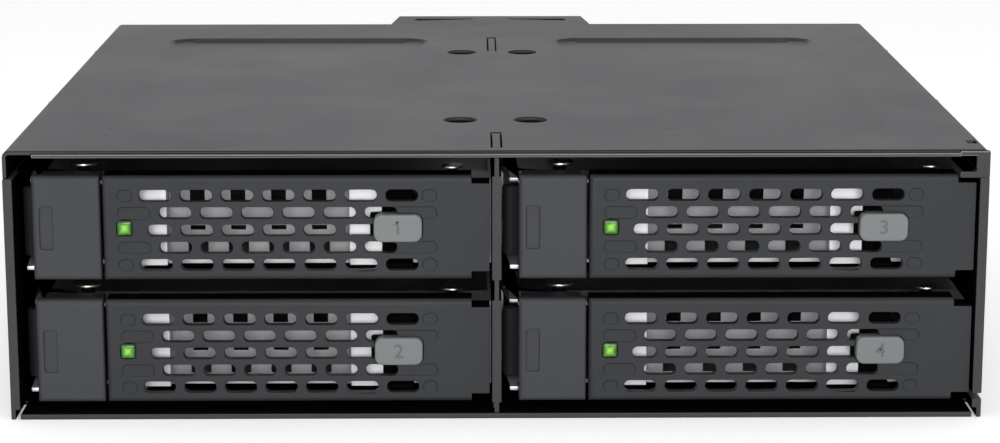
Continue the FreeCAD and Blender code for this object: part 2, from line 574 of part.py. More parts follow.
def drive_sockets():
    """One socket for each drive, with its mouth towards the front."""
    def build(x, z):
        mid = f"({x} + TRAY_W / 2 + socket_shift)"
        low = f"({z} + FLOOR + socket_rise)"
        shell = box((f"{mid} - socket_wide / 2", f"{mid} + socket_wide / 2"),
                    ("TRAY_END + 0.3", "BOARD"), (low, f"{low} + socket_high"))
        mouth = box((f"{mid} - socket_wide / 2 + socket_wall", f"{mid} + socket_wide / 2 - socket_wall"),
                    ("TRAY_END", "BOARD - socket_wall"),
                    (f"{low} + (socket_high - socket_mouth) / 2",
                     f"{low} + (socket_high + socket_mouth) / 2"))
        return cut(shell, [mouth])
    place(group(in_bays(build)), "drive_sockets")


def status_leds():
    """Small lamps on the board, one behind the end of each light pipe."""
    def build(x, z):
        return box((f"{x} + PIPE_X", f"{x} + PIPE_X + pipe_wide"), ("BOARD - led_deep", "BOARD"),
                   (f"{z} - pipe_drop", f"{z} - pipe_drop + pipe_thick"))
    place(group(in_bays(build)), "status_leds")


def fan_frame():
    """Square fan housing with four struts to the motor seat."""
    body = new_body("FanFrame")
    square = sketch(body, "XZ_Plane", "-CAGE_D")
    left = "CAGE_W / 2 - fan_size / 2"
    right = "CAGE_W / 2 + fan_size / 2"
    rounded(square, left, "FAN_LOW", right, "FAN_LOW + fan_size", "fan_round")
    pad(body, square, "fan_deep", back=True)
    bore = sketch(body, "XZ_Plane", "-CAGE_D + 1")
    circle(bore, "CAGE_W / 2", "FAN_MID", "FAN_BORE")
    for dx in ("-", "+"):
        for dz in ("-", "+"):
            circle(bore, f"CAGE_W / 2 {dx} FAN_PITCH / 2", f"FAN_MID {dz} FAN_PITCH / 2", "fan_hole")
    pocket(body, bore, "fan_deep + 2")
    reach = "(FAN_BORE / 2 + fan_rim / 2)"
    seat = [rod("y", ("CAGE_W / 2", "FAN_MID"), ("FAN_BACK - fan_back", "FAN_BACK"), "fan_hub"),
            box((f"CAGE_W / 2 - {reach}", f"CAGE_W / 2 + {reach}"), ("FAN_BACK - fan_back", "FAN_BACK"),
                ("FAN_MID - strut_wide / 2", "FAN_MID + strut_wide / 2")),
            box(("CAGE_W / 2 - strut_wide / 2", "CAGE_W / 2 + strut_wide / 2"),
                ("FAN_BACK - fan_back", "FAN_BACK"), (f"FAN_MID - {reach}", f"FAN_MID + {reach}"))]
    bearing = rod("y", ("CAGE_W / 2", "FAN_MID"), ("FAN_BACK - fan_back - 1", "FAN_BACK + 1"), "shaft_bore")
    place(cut(fuse([body] + seat), [bearing]), "fan_frame")


def fan_rotor():
    """Hub, shaft and tilted blades."""
    middle = ("CAGE_W / 2", "FAN_MID")
    rear = "FAN_BACK - fan_back - 0.4"
    hub = rod("y", middle, ("CAGE_D + 0.6", rear), "fan_hub")
    shaft = rod("y", middle, (rear, "FAN_BACK - 0.2"), "shaft_size")
    ring = cut(rod("y", middle, ("CAGE_D + 0.8", "FAN_BACK - fan_back - 0.6"), "FAN_BORE - 2 * blade_tip"),
               [rod("y", middle, ("CAGE_D", "FAN_BACK"), "fan_hub - 1")])
    blades = []
    for i in range(SIZES["blades"]):
        blade = doc.addObject("Part::Box", "Blade")
        blade.setExpression("Length", bound("fan_deep * 1.6"))
        blade.setExpression("Width", bound("blade_gauge"))
        blade.setExpression("Height", bound("FAN_BORE / 2"))
        start = Placement(Vector(-number("fan_deep") * 0.8, -number("blade_gauge") / 2, 0), Rotation())
        tilt = Placement(Vector(), Rotation(Vector(0, 0, 1), number("blade_tilt")))
        spin = Placement(Vector(), Rotation(Vector(0, 1, 0), 360.0 * i / SIZES["blades"]))
        depth = number("CAGE_D + (fan_deep - fan_back) / 2")
        centre = Placement(Vector(number("CAGE_W / 2"), depth, number("FAN_MID")), Rotation())
        blade.Placement = centre * spin * tilt * start
        common = doc.addObject("Part::Common", "BladeTrim")
        common.Base = blade
        common.Tool = ring
        blades.append(common)
    place(fuse([hub, shaft] + blades), "fan_rotor")


def fan_guard():
    """Stamped grille over the back of the fan."""
    body = new_body("FanGuard")
    plate = sketch(body, "XZ_Plane", "-FAN_BACK")
    rounded(plate, "CAGE_W / 2 - fan_size / 2", "FAN_LOW", "CAGE_W / 2 + fan_size / 2",
            "FAN_LOW + fan_size", "fan_round")
    pad(body, plate, "guard_gauge", back=True)
    span = ("FAN_BACK - 1", "FAN_BACK + guard_gauge + 1")
    middle = ("CAGE_W / 2", "FAN_MID")
    bands = []
    for i in range(SIZES["guard_rings"]):
        ring = f"FAN_BORE * {i + 1} / (guard_rings + 0.5)"
        inner = f"{ring} - guard_band"
        outer = f"{ring} + guard_band"
        bands.append(cut(rod("y", middle, ("FAN_BACK", "FAN_BACK + guard_gauge"), outer),
                         [rod("y", middle, span, inner)]))
    reach = "(FAN_BORE / 2 + fan_rim / 2)"
    bands.append(box((f"CAGE_W / 2 - {reach}", f"CAGE_W / 2 + {reach}"),
                     ("FAN_BACK", "FAN_BACK + guard_gauge"),
                     ("FAN_MID - guard_band / 2", "FAN_MID + guard_band / 2")))
    bands.append(box(("CAGE_W / 2 - guard_band / 2", "CAGE_W / 2 + guard_band / 2"),
                     ("FAN_BACK", "FAN_BACK + guard_gauge"),
                     (f"FAN_MID - {reach}", f"FAN_MID + {reach}")))
    rim = cut(body, [rod("y", middle, span, "FAN_BORE")])
    holes = [rod("y", (f"CAGE_W / 2 {dx} FAN_PITCH / 2", f"FAN_MID {dz} FAN_PITCH / 2"), span,
                 "fan_screw + 0.2") for dx in ("-", "+") for dz in ("-", "+")]
    place(cut(fuse([rim] + bands), holes), "fan_guard")


def fan_screws():
    """Four screws through grille and frame into the rear panel."""
    items = []
    for dx in ("-", "+"):
        for dz in ("-", "+"):
            at = (f"CAGE_W / 2 {dx} FAN_PITCH / 2", f"FAN_MID {dz} FAN_PITCH / 2")
            items.append(fuse([rod("y", at, ("CAGE_D - 2.2", "FAN_BACK + guard_gauge"), "fan_screw"),
                               rod("y", at, ("FAN_BACK + guard_gauge", "TOTAL_D"), "fan_head")]))
    place(group(items), "fan_screws")


def fan_switch():
    """Slide switch for the fan speed: body on the board's back, knob through the rear panel."""
    mid = "(CAGE_W - switch_side)"
    body = box((f"{mid} - switch_wide / 2", f"{mid} + switch_wide / 2"),
               ("BOARD_BACK", "CAGE_D - sheet_gauge - 0.1"),
               ("switch_mid - switch_high / 2", "switch_mid + switch_high / 2"))
    run = "(knob_wide + switch_travel + 2 * switch_play)"
    well = box((f"{mid} - {run} / 2", f"{mid} + {run} / 2"), ("CAGE_D - 4", "CAGE_D"),
               ("switch_mid - knob_high / 2 - switch_play", "switch_mid + knob_high / 2 + switch_play"))
    place(cut(body, [well]), "fan_switch")
    knob = box((f"{mid} - switch_travel / 2 - knob_wide / 2", f"{mid} - switch_travel / 2 + knob_wide / 2"),
               ("CAGE_D - 3.9", "CAGE_D + knob_out"),
               ("switch_mid - knob_high / 2", "switch_mid + knob_high / 2"))
    place(group([knob]), "fan_switch_knob")


# ---------------------------------------------------------------- bay pieces

def tray():
    """Plated sheet tray: floor, sides, short top flange and a perforated front baffle."""
    plate = ("tray_under", "FLOOR")
    roof = ("ROOF", "TRAY_TOP")
    solids = []
    for level in (plate, roof):
        rear = "TRAY_END" if level is plate else "flange_rear"
        solids.append(box(("0", "TRAY_W"), ("corner_back", rear), level))
        solids.append(box(("bezel_left", "TRAY_W"), ("flange_front", "corner_back"), level))
        solids.append(box(("bezel_left + corner_in", "bezel_left + bezel_wide - corner_short"),
                          ("corner_front", "flange_front"), level))
        solids.append(box(("HINGE_X - lug_step", "HINGE_X + lug_relief"),
                          ("hinge_deep", "flange_front"), level))
        solids.append(rod("z", ("HINGE_X", "hinge_deep"), level, "2 * lug_round"))
    solids.append(box(("0", "3 * tray_side"), ("flange_rear", "drive_front + 0.5"), roof))
    solids.append(box(("0", "tray_side"), ("drive_front + 0.5", "TRAY_END"), ("tray_under", "TRAY_TOP")))
    solids.append(box(("TRAY_W - tray_side", "TRAY_W"), ("flange_front", "TRAY_END"),
                      ("tray_under", "TRAY_TOP")))
    baffle = ("FLOOR", "ROOF")
    recess = ("wall_front", "wall_back + tray_plate")
    front = ("wall_front", "wall_front + tray_plate")
    solids.append(box(("recess_left", "RECESS_RIGHT"), ("wall_back", "wall_back + tray_plate"), baffle))
    solids.append(box(("recess_left - tray_plate", "recess_left"), recess, baffle))
    solids.append(box(("RECESS_RIGHT", "RECESS_RIGHT + tray_plate"), recess, baffle))
    solids.append(box(("wall_left", "recess_left"), front, baffle))
    solids.append(box(("RECESS_RIGHT", "WALL_RIGHT"), front, baffle))
    cuts = [rod("z", ("hook_in", "hook_deep"), ("0", "face_high"), "hook_pin"),
            rod("z", ("LATCH_X", "latch_deep"), ("0", "face_high"), "latch_pin"),
            rod("z", ("HINGE_X", "hinge_deep"), ("0", "face_high"), "hinge_pin"),
            box(("PIPE_X - 0.1", "PIPE_X + pipe_wide + 0.1"),
                ("flange_front - 0.2", "flange_front + pipe_thick + 0.1"), ("0", "FLOOR + 0.1")),
            box(("PIPE_X", "PIPE_X + pipe_wide + pipe_pass"), ("wall_front - 1", "wall_front + 1"),
                ("MID - pipe_wide / 2 - pipe_pass", "MID + pipe_wide / 2 + pipe_pass"))]
    through = ("wall_back - 1", "wall_back + tray_plate + 1")
    for i in range(int(number("(RECESS_RIGHT - baffle_first) / baffle_pitch")) + 1):
        x = f"(baffle_first + {i} * baffle_pitch)"
        narrow = (f"{x} - baffle_hole / 2", f"{x} + baffle_hole / 2")
        cuts.append(box(narrow, through, ("baffle_high", "ROOF")))
        cuts.append(box(narrow, through, ("baffle_slit", "baffle_slit_top")))
        cuts.append(box((f"{x} - baffle_wide / 2", f"{x} + baffle_wide / 2"), through,
                        ("baffle_low", "baffle_low_top")))
    for y in ("TRAY_END - screw_first", "TRAY_END - screw_first - screw_pitch"):
        for side in ("-", "+"):
            cuts.append(rod("z", (f"TRAY_W / 2 {side} screw_span / 2", y), ("0", "FLOOR + 0.5"),
                            "screw_bore"))
    bay_place(cut(fuse(solids), cuts), "tray")


def bezel():
    """Fixed face at the tray's left end, clamped over the tray's floor and flange."""
    body = new_body("Bezel")
    face = sketch(body, "XY_Plane", "0")
    outline(face, [("bezel_left", "face_set", "face_round"),
                   ("bezel_left + bezel_wide", "face_set", "face_round / 2"),
                   ("bezel_left + bezel_wide", "corner_front"), ("bezel_left", "corner_front")])
    pad(body, face, "face_high")
    for low, high in (("TRAY_TOP", "TRAY_TOP + ledge_thick"),
                      ("tray_under - ledge_thick * 0.85", "tray_under")):
        ledge = sketch(body, "XY_Plane", low)
        rectangle(ledge, "bezel_left + 0.5", "corner_front - 0.5",
                  "bezel_left + bezel_wide - corner_short", "ledge_rear")
        pad(body, ledge, f"{high} - ({low})")
    mark = sketch(body, "XZ_Plane", "-face_set + 1")
    x = "(bezel_left + mark_in)"
    rounded(mark, f"{x} - mark_wide / 2", "MID - mark_high / 2",
            f"{x} + mark_wide / 2", "MID + mark_high / 2", "mark_round")
    pocket(body, mark, "1 + mark_deep")
    trim = sketch(body, "YZ_Plane", "0")
    for low, high in (("-1", "0"), ("face_high", "face_high + 1")):
        edge = "0" if low == "-1" else "face_high"
        inner = "face_round" if low == "-1" else "face_high - face_round"
        corner = Vector(number("face_set + face_round"), number(inner), 0)
        start = Vector(number("face_set"), number(inner), 0)
        end = Vector(number("face_set + face_round"), number(edge), 0)
        sweep = Vector(start.x - corner.x, end.y - corner.y, 0).normalize() * number("face_round")
        tip = Vector(start.x, end.y, 0)
        trim.addGeometry(Part.Arc(start, corner + sweep, end))
        trim.addGeometry(Part.LineSegment(end, tip))
        trim.addGeometry(Part.LineSegment(tip, start))
    pocket(body, trim, "bezel_left + bezel_wide + 1", back=True)
    bay_place(body, "bezel")


def slot_centres():
    """Row, column and centre of each of the door's slots, row by row from below."""
    places = []
    columns = round(number("(BUTTON_X - DOOR_X - slot_first) / slot_pitch")) + 1
    for row in range(5):
        z = number(f"row_first + {row} * row_pitch")
        shift = row % 2
        for column in range(columns - shift):
            x = number(f"DOOR_X + slot_first + {column} * slot_pitch") + shift * number("slot_shift")
            places.append((row, column, x, z))
    return places


def door():
    """Hinged lever door: channel section with rows of air slots, button opening and lens opening."""
    body = new_body("Door")
    section = sketch(body, "YZ_Plane", "DOOR_X")
    outline(section, [("face_set", "0", "face_round"), ("FACE_BACK + door_deep - face_thick", "0"),
                      ("FACE_BACK + door_deep - face_thick", "flange_low"), ("FACE_BACK", "flange_low"),
                      ("FACE_BACK", "face_high - flange_top"),
                      ("FACE_BACK + door_deep - face_thick", "face_high - flange_top"),
                      ("FACE_BACK + door_deep - face_thick", "face_high"),
                      ("face_set", "face_high", "face_round")])
    pad(body, section, "DOOR_END - DOOR_X")
    end = sketch(body, "XY_Plane", "flange_low / 2")
    rectangle(end, "DOOR_END - end_wall", "face_set + face_thick / 2", "DOOR_END", "face_set + door_deep")
    pad(body, end, "face_high - flange_low / 2 - flange_top / 2")
    strike = sketch(body, "XY_Plane", "MID - strike_high / 2")
    rectangle(strike, "STRIKE", "latch_nose - 0.2", "DOOR_END - end_wall / 2", "latch_nose + 0.8")
    pad(body, strike, "strike_high")
    upper = "face_high - flange_top"
    for low, high, near in (("bridge_low", "bridge_low_top", "bridge_foot"),
                            (upper, f"{upper} + bridge_top", "bridge_foot"),
                            ("bridge_low", f"{upper} + bridge_top", "bridge_front")):
        strap = sketch(body, "XY_Plane", low)
        rectangle(strap, "BUTTON_X - bridge_wide / 2", near,
                  "BUTTON_X + bridge_wide / 2", "bridge_front + bridge_thick")
        pad(body, strap, f"{high} - ({low})")

    slots = sketch(body, "XZ_Plane", "1 - face_set")
    button_left = number("BUTTON_X - button_wide / 2 - 0.6")
    for row, column, x, z in slot_centres():
        half = number("slot_long / 2")
        left, right = x - half, x + half
        if row == 2 and column == 0:
            left += 1.2
        if row in (1, 2, 3) and right > button_left:
            if x > number("BUTTON_X - 3"):
                if row == 2:
                    continue
                right = number("BUTTON_X + button_wide / 2 - 1.5")
        rounded(slots, left, f"{z} - slot_high / 2", right, f"{z} + slot_high / 2", "slot_high / 2 - 0.1")
    pocket(body, slots, "1 + face_thick")
    blind = sketch(body, "XZ_Plane", "1 - face_set")
    for row in range(5):
        long = "slot_long" if row % 2 else "blind_short"
        low = f"row_first + {row} * row_pitch - slot_high / 2"
        high = f"row_first + {row} * row_pitch + slot_high / 2"
        if row != 2:
            rounded(blind, "DOOR_X + blind_near", low, f"DOOR_X + blind_near + {long}", high,
                    "slot_high / 2 - 0.1")
            rounded(blind, f"DOOR_END - blind_end - {long}", low, "DOOR_END - blind_end", high,
                    "slot_high / 2 - 0.1")
    pocket(body, blind, "1 + blind_deep")
    opening = sketch(body, "XZ_Plane", "1 - face_set")
    rounded(opening, "BUTTON_X - button_wide / 2 - button_play", "MID - button_high / 2 - button_play",
            "BUTTON_X + button_wide / 2 + button_play", "MID + button_high / 2 + button_play",
            "button_round + button_play")
    rounded(opening, "LENS_X - lens_side / 2", "MID - lens_side / 2", "LENS_X + lens_side / 2",
            "MID + lens_side / 2", "0.5")
    pocket(body, opening, "1 + face_thick")
    stem = sketch(body, "XZ_Plane", "-bridge_front + 0.5")
    circle(stem, "BUTTON_X", "MID", "stem_size + 2 * button_play")
    pocket(body, stem, "bridge_thick + 1")
    bores = sketch(body, "XY_Plane", "-1")
    circle(bores, "HINGE_X", "hinge_deep", "hinge_bore")
    pocket(body, bores, "face_high + 2", back=True)
    relief = sketch(body, "XY_Plane", "tray_under - 0.1")
    circle(relief, "HINGE_X", "hinge_deep", "2 * lug_relief")
    pocket(body, relief, "tray_plate + 0.2", back=True)
    relief = sketch(body, "XY_Plane", "ROOF - 0.1")
    circle(relief, "HINGE_X", "hinge_deep", "2 * lug_relief")
    pocket(body, relief, "face_high - flange_top - ROOF + 0.1", back=True)
    notch = sketch(body, "XZ_Plane", "1 - face_set")
    rectangle(notch, "DOOR_END - notch_long", "face_high - notch_top", "DOOR_END + 1", "face_high + 1")
    rectangle(notch, "DOOR_END - notch_long", "0", "DOOR_END + 1", "notch_low")
    pocket(body, notch, "1 + door_deep + 1")
    round_left = sketch(body, "XY_Plane", "-1")
    corner = Vector(number("DOOR_X + face_round"), number("face_set + face_round"), 0)
    start = corner - Vector(number("face_round"), 0, 0)
    end_point = corner - Vector(0, number("face_round"), 0)
    middle = corner - Vector(1, 1, 0).normalize() * number("face_round")
    tip = Vector(start.x - 0.5, end_point.y - 0.5, 0)
    round_left.addGeometry([Part.Arc(start, middle, end_point),
                            Part.LineSegment(end_point, Vector(end_point.x, tip.y, 0)),
                            Part.LineSegment(Vector(end_point.x, tip.y, 0), tip),
                            Part.LineSegment(tip, Vector(tip.x, start.y, 0)),
                            Part.LineSegment(Vector(tip.x, start.y, 0), start)])
    pocket(body, round_left, "face_high + 2", back=True)
    bay_place(body, "door")


def led_lens():
    """Clear green window in the door beside the hinge."""
    body = new_body("LedLens")
    face = sketch(body, "XZ_Plane", "-face_set + 0.1")
    rounded(face, "LENS_X - lens_side / 2", "MID - lens_side / 2", "LENS_X + lens_side / 2",
            "MID + lens_side / 2", "0.5")
    pad(body, face, "lens_deep", back=True)
    bay_place(body, "led_lens")


def light_pipe():
    """Clear rod that brings the board's lamp under the tray to the lens."""
    body = new_body("LightPipe")
    path = sketch(body, "YZ_Plane", "PIPE_X")
    low, rear = "-pipe_drop", "BOARD - led_deep - pipe_end_gap"
    outline(path, [("pipe_front", "MID - pipe_wide / 2"), ("flange_front", "MID - pipe_wide / 2"),
                   ("flange_front", low), (rear, low), (rear, "pipe_thick - pipe_drop"),
                   ("flange_front + pipe_thick", "pipe_thick - pipe_drop"),
                   ("flange_front + pipe_thick", "MID + pipe_wide / 2"),
                   ("pipe_front", "MID + pipe_wide / 2")])
    pad(body, path, "pipe_wide")
    bay_place(body, "light_pipe")


def pivot_pins():
    """Ejector pin, latch pin and two short door pins, all carried by the tray."""
    head = ("TRAY_TOP + head_rise", "TRAY_TOP + head_rise + head_thick")
    ejector = fuse([rod("z", ("hook_in", "hook_deep"), ("tray_under", "TRAY_TOP + head_rise"), "hook_pin"),
                    rod("z", ("hook_in", "hook_deep"), head, "hook_head"),
                    rod("z", ("hook_in", "hook_deep"), ("tray_under - rivet_tail", "tray_under"),
                        "hook_pin + 1")])
    latch = fuse([rod("z", ("LATCH_X", "latch_deep"), ("tray_under", "TRAY_TOP + head_rise"), "latch_pin"),
                  rod("z", ("LATCH_X", "latch_deep"), head, "latch_head"),
                  rod("z", ("LATCH_X", "latch_deep"), ("tray_under - rivet_tail", "tray_under"),
                      "latch_pin + 1")])
    upper = rod("z", ("HINGE_X", "hinge_deep"), ("ROOF - 0.3", "face_high - 0.5"), "hinge_pin")
    lower = rod("z", ("HINGE_X", "hinge_deep"), ("0.3", "FLOOR + 0.3"), "hinge_pin")
    bay_place(group([ejector, latch, upper, lower]), "pivot_pins")


def button():
    """Push button with a retaining lip and a stem to the latch."""
    body = new_body("Button")
    cap = sketch(body, "XZ_Plane", "button_proud - face_set")
    rounded(cap, "BUTTON_X - button_wide / 2", "MID - button_high / 2", "BUTTON_X + button_wide / 2",
            "MID + button_high / 2", "button_round")
    pad(body, cap, "FACE_BACK + button_play", back=True)
    lip = sketch(body, "XZ_Plane", "-FACE_BACK - button_play")
    rectangle(lip, "BUTTON_X - button_wide / 2 - button_lip", "MID - button_high / 2 + button_play",
              "BUTTON_X + button_wide / 2 + button_lip", "MID + button_high / 2 - button_play")
    pad(body, lip, "button_stop", back=True)
    stem = sketch(body, "XZ_Plane", "-FACE_BACK - button_play - button_stop / 2")
    circle(stem, "BUTTON_X", "MID", "stem_size")
    pad(body, stem, "stem_end - FACE_BACK - button_play - button_stop / 2", back=True)
    bay_place(body, "button")


def button_spring():
    """Short coil of square wire round the stem, seated on the door's bridge."""
    wire = number("spring_wire")
    start = number("FACE_BACK + button_play + button_stop + button_travel") + wire / 2 + 0.05
    length = number("bridge_front") - wire / 2 - 0.05 - start
    turns = number("spring_turns")
    coil = Part.makeHelix(length / turns, length, number("(spring_size - spring_wire) / 2"))
    middle = number("(spring_size - spring_wire) / 2")
    corners = [Vector(middle + i * wire / 2, 0, k * wire / 2)
               for i, k in ((-1, -1), (1, -1), (1, 1), (-1, 1))]
    profile = Part.makePolygon(corners + corners[:1])
    shape = Part.Wire(coil.Edges).makePipeShell([profile], True, True)
    shape.rotate(Vector(), Vector(1, 0, 0), -90)
    shape.translate(Vector(number("BUTTON_X"), start, number("MID")))
    spring = doc.addObject("Part::Feature", "ButtonSpring")
    spring.Shape = Part.makeCompound([shape])
    bay_place(spring, "button_spring")


def latch():
    """Rocker on the tray that the button turns; its nose faces the door's strike."""
    body = new_body("Latch")
    low = "MID - latch_high / 2"
    arm = sketch(body, "XY_Plane", low)
    arm_front = "(stem_end + latch_gap)"
    outline(arm, [("BUTTON_X - 1", arm_front, "0.3"), ("LATCH_X + 0.6", arm_front, "0.4"),
                  ("LATCH_X + 0.6", "latch_nose + 2"), ("STRIKE - 1.6", "latch_nose", "0.3"),
                  ("STRIKE - latch_gap", "latch_nose", "0.2"),
                  ("STRIKE - latch_gap", "latch_nose + 1.2", "0.2"),
                  ("LATCH_X + 1.8", "latch_nose + 2.6"), ("LATCH_X + latch_boss", "latch_deep"),
                  ("LATCH_X + 0.6", "latch_deep + latch_boss", "0.8"),
                  ("LATCH_X - 1.2", "latch_deep + latch_boss", "0.8"),
                  ("LATCH_X - 3", f"{arm_front} + 1.3", "0.5"),
                  ("BUTTON_X - 1", f"{arm_front} + 1.2", "0.5")])
    pad(body, arm, "latch_high")
    bore = sketch(body, "XY_Plane", low)
    circle(bore, "LATCH_X", "latch_deep", "latch_bore")
    pocket(body, bore, "latch_high", back=True)
    bay_place(body, "latch")


def ejector_hook():
    """Hook on the tray's front corner, whose tip works behind the folded front edge of the cage."""
    body = new_body("EjectorHook")
    low = "FLOOR + hook_play"
    arm = sketch(body, "XY_Plane", low)
    pivot = Vector(number("hook_in"), number("hook_deep"), 0)
    lean = math.radians(180 + number("hook_angle"))
    along = Vector(math.cos(lean), math.sin(lean), 0)
    wide, narrow = number("hook_boss"), number("hook_tip")
    tip = pivot + along * (number("hook_reach") - narrow)
    off = math.acos((wide - narrow) / (tip - pivot).Length)
    turned = [Vector(math.cos(lean + side * off), math.sin(lean + side * off), 0) for side in (1, -1)]
    arm.addGeometry([Part.Arc(pivot + turned[0] * wide, pivot - along * wide, pivot + turned[1] * wide),
                     Part.LineSegment(pivot + turned[1] * wide, tip + turned[1] * narrow),
                     Part.Arc(tip + turned[1] * narrow, tip + along * narrow, tip + turned[0] * narrow),
                     Part.LineSegment(tip + turned[0] * narrow, pivot + turned[0] * wide)])
    pad(body, arm, "tray_room - 2 * hook_play")
    bore = sketch(body, "XY_Plane", low)
    circle(bore, "hook_in", "hook_deep", "hook_bore")
    pocket(body, bore, "tray_room", back=True)
    bay_place(body, "ejector_hook")


for build in (chassis, top_cover, centre_divider, middle_shelves, guide_rails, rear_panel,
              backplane_board, drive_sockets, status_leds, fan_frame, fan_rotor, fan_guard,
              fan_screws, fan_switch, tray, bezel, door, led_lens, light_pipe, pivot_pins, button,
              button_spring, latch, ejector_hook):
    build()
ports("data_connectors", "data_wide", "data_high", DATA_COLUMNS)
ports("power_connectors", "power_wide", "power_high", POWER_COLUMNS)
place(group(flat_screws(cap_places())), "cover_screws")
place(group(flat_screws(rear_places())), "rear_screws")
doc.recompute()

failed = [f"{o.Name} ({o.Label}) {o.State}" for o in doc.Objects
          if "Invalid" in o.State or "Error" in o.State]
if failed:
    raise RuntimeError("failed objects: " + ", ".join(failed))
os.makedirs("parts", exist_ok=True)
for item in nodes:
    if item.Shape.isNull() or not item.Shape.isValid():
        raise RuntimeError(f"{item.Label} has no valid shape")
for item in nodes:
    item.Shape.exportStep(f"parts/{item.Label}.step")
print(len(nodes), "sub-parts written")
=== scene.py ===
# %% [markdown]
# # A hot swap drive cage, dressed for a picture
# The object is a folded steel cage, half a drive bay high, with four sliding trays. Each tray has a
# fixed face, a hinged door full of air slots, a push button and a green lamp. The solids come from the
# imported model, and this lesson gives them softened edges, finer pieces and real finishes.

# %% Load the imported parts
import json
import math

import bpy
from mathutils import Matrix, Vector
from mathutils.bvhtree import BVHTree


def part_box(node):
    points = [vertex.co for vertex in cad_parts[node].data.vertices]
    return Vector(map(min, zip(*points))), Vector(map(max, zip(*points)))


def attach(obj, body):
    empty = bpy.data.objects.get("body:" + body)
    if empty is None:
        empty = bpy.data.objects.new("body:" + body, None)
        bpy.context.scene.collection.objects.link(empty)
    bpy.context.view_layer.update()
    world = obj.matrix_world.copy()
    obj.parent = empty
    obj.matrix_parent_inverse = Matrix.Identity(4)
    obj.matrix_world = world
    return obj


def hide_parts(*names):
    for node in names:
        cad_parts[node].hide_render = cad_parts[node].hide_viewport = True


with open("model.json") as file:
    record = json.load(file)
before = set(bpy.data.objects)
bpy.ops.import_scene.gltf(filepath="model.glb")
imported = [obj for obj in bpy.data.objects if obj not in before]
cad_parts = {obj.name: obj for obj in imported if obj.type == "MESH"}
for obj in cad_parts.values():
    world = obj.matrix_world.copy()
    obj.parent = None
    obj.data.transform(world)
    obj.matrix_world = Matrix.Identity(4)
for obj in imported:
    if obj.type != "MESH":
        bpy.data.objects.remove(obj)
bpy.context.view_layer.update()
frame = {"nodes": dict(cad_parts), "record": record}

nodes = frame["nodes"]
MM = 0.001

# %% [markdown]
# ## Where things are
# Every position comes from the solids' own boxes, so nothing has to be fitted by eye. The four bays hold
# the same pieces, so bay 1 is measured once and the others are the same pieces moved by one offset.

# %% Measure the cage and the bays
BAYS = (1, 2, 3, 4)
bay_offset = {bay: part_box(f"tray_{bay}")[0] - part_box("tray_1")[0] for bay in BAYS}
cage_low, cage_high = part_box("chassis")
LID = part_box("top_cover")[1].z
for bay in BAYS:
    print("bay", bay, "is moved by", [round(v / MM, 2) for v in bay_offset[bay]], "mm")

# %% [markdown]
# ## From a CAD solid to a softened piece
# Real edges are never knife sharp: sheet steel has a burr-free radius, and mouldings have one that the
# tool left. Light catches there, and without it a model looks like paper. A CAD mesh arrives as loose
# triangles, so a copy is merged and its flat faces are made whole first. Then a Bevel modifier limited
# by angle rounds the true edges only, and Weighted Normal keeps the big faces flat in the light.

# %% Helpers that copy a part and soften its edges
def pick(*pieces):
    """Leaves only these objects selected, the first of them active."""
    bpy.ops.object.select_all(action="DESELECT")
    for piece in pieces:
        piece.select_set(True)
    bpy.context.view_layer.objects.active = pieces[0]


def merged_copy(node, name):
    """A copy of a part's mesh as one closed skin with whole flat faces."""
    piece = bpy.data.objects.new(name, nodes[node].data.copy())
    bpy.context.scene.collection.objects.link(piece)
    piece.data.materials.clear()
    pick(piece)
    bpy.ops.mesh.customdata_custom_splitnormals_clear()
    bpy.ops.object.mode_set(mode="EDIT")
    bpy.ops.mesh.select_all(action="SELECT")
    bpy.ops.mesh.remove_doubles(threshold=0.002 * MM)
    bpy.ops.mesh.dissolve_limited(angle_limit=math.radians(0.6))
    bpy.ops.object.mode_set(mode="OBJECT")
    return piece


def skin_of(piece):
    """A search tree over the piece's faces as they are now."""
    return BVHTree.FromPolygons([v.co.copy() for v in piece.data.vertices],
                                [tuple(f.vertices) for f in piece.data.polygons])


def soften(piece, width, segments=2, angle=32):
    """Rounds the true edges by a width in millimetres and shades the piece smooth, inside its old box."""
    pick(piece)
    spots = [vertex.co.copy() for vertex in piece.data.vertices]
    lows = [min(spot[axis] for spot in spots) for axis in range(3)]
    highs = [max(spot[axis] for spot in spots) for axis in range(3)]
    skin = skin_of(piece)
    edge = piece.modifiers.new("edge", "BEVEL")
    edge.width = width * MM
    edge.segments = segments
    edge.limit_method = "ANGLE"
    edge.angle_limit = math.radians(angle)
    edge.use_clamp_overlap = False
    bpy.ops.object.modifier_apply(modifier=edge.name)
    strays = 0
    for vertex in piece.data.vertices:
        near, _, _, gap = skin.find_nearest(vertex.co)
        if gap > 0.45 * width * MM:
            vertex.co = near
            strays += 1
        vertex.co = [min(max(vertex.co[axis], lows[axis]), highs[axis]) for axis in range(3)]
    if strays:
        print(piece.name, "had", strays, "stray corners, now on its own skin")
    bpy.ops.object.shade_smooth_by_angle(angle=math.radians(angle + 8))
    even = piece.modifiers.new("even", "WEIGHTED_NORMAL")
    even.keep_sharp = True
    bpy.ops.object.modifier_apply(modifier=even.name)
    return piece


def body_of(node):
    """The body that a part belongs to."""
    return next(name for name, members in frame["record"]["behaviour"]["bodies"].items() if node in members)


def stand_for(piece, node, finish):
    """Dresses a piece, lets it ride on the part's body and hides the part behind it."""
    piece.data.materials.clear()
    piece.data.materials.append(finish)
    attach(piece, body_of(node))
    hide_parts(node)
    return piece


print("helpers ready")

# %% [markdown]
# ## Surface effects as node groups
# Several finishes share the same small effects, so each effect is a group with named inputs and outputs.
# Object coordinates are in metres, so a scale of 1000 means one feature in a millimetre.
# *Fine grain* is the tiny pebble of powder paint and of moulded plastic. *Drawn sheet* is the fine lines
# left in plated steel by rolling. *Handling* is the uneven gloss that hands and dust leave.

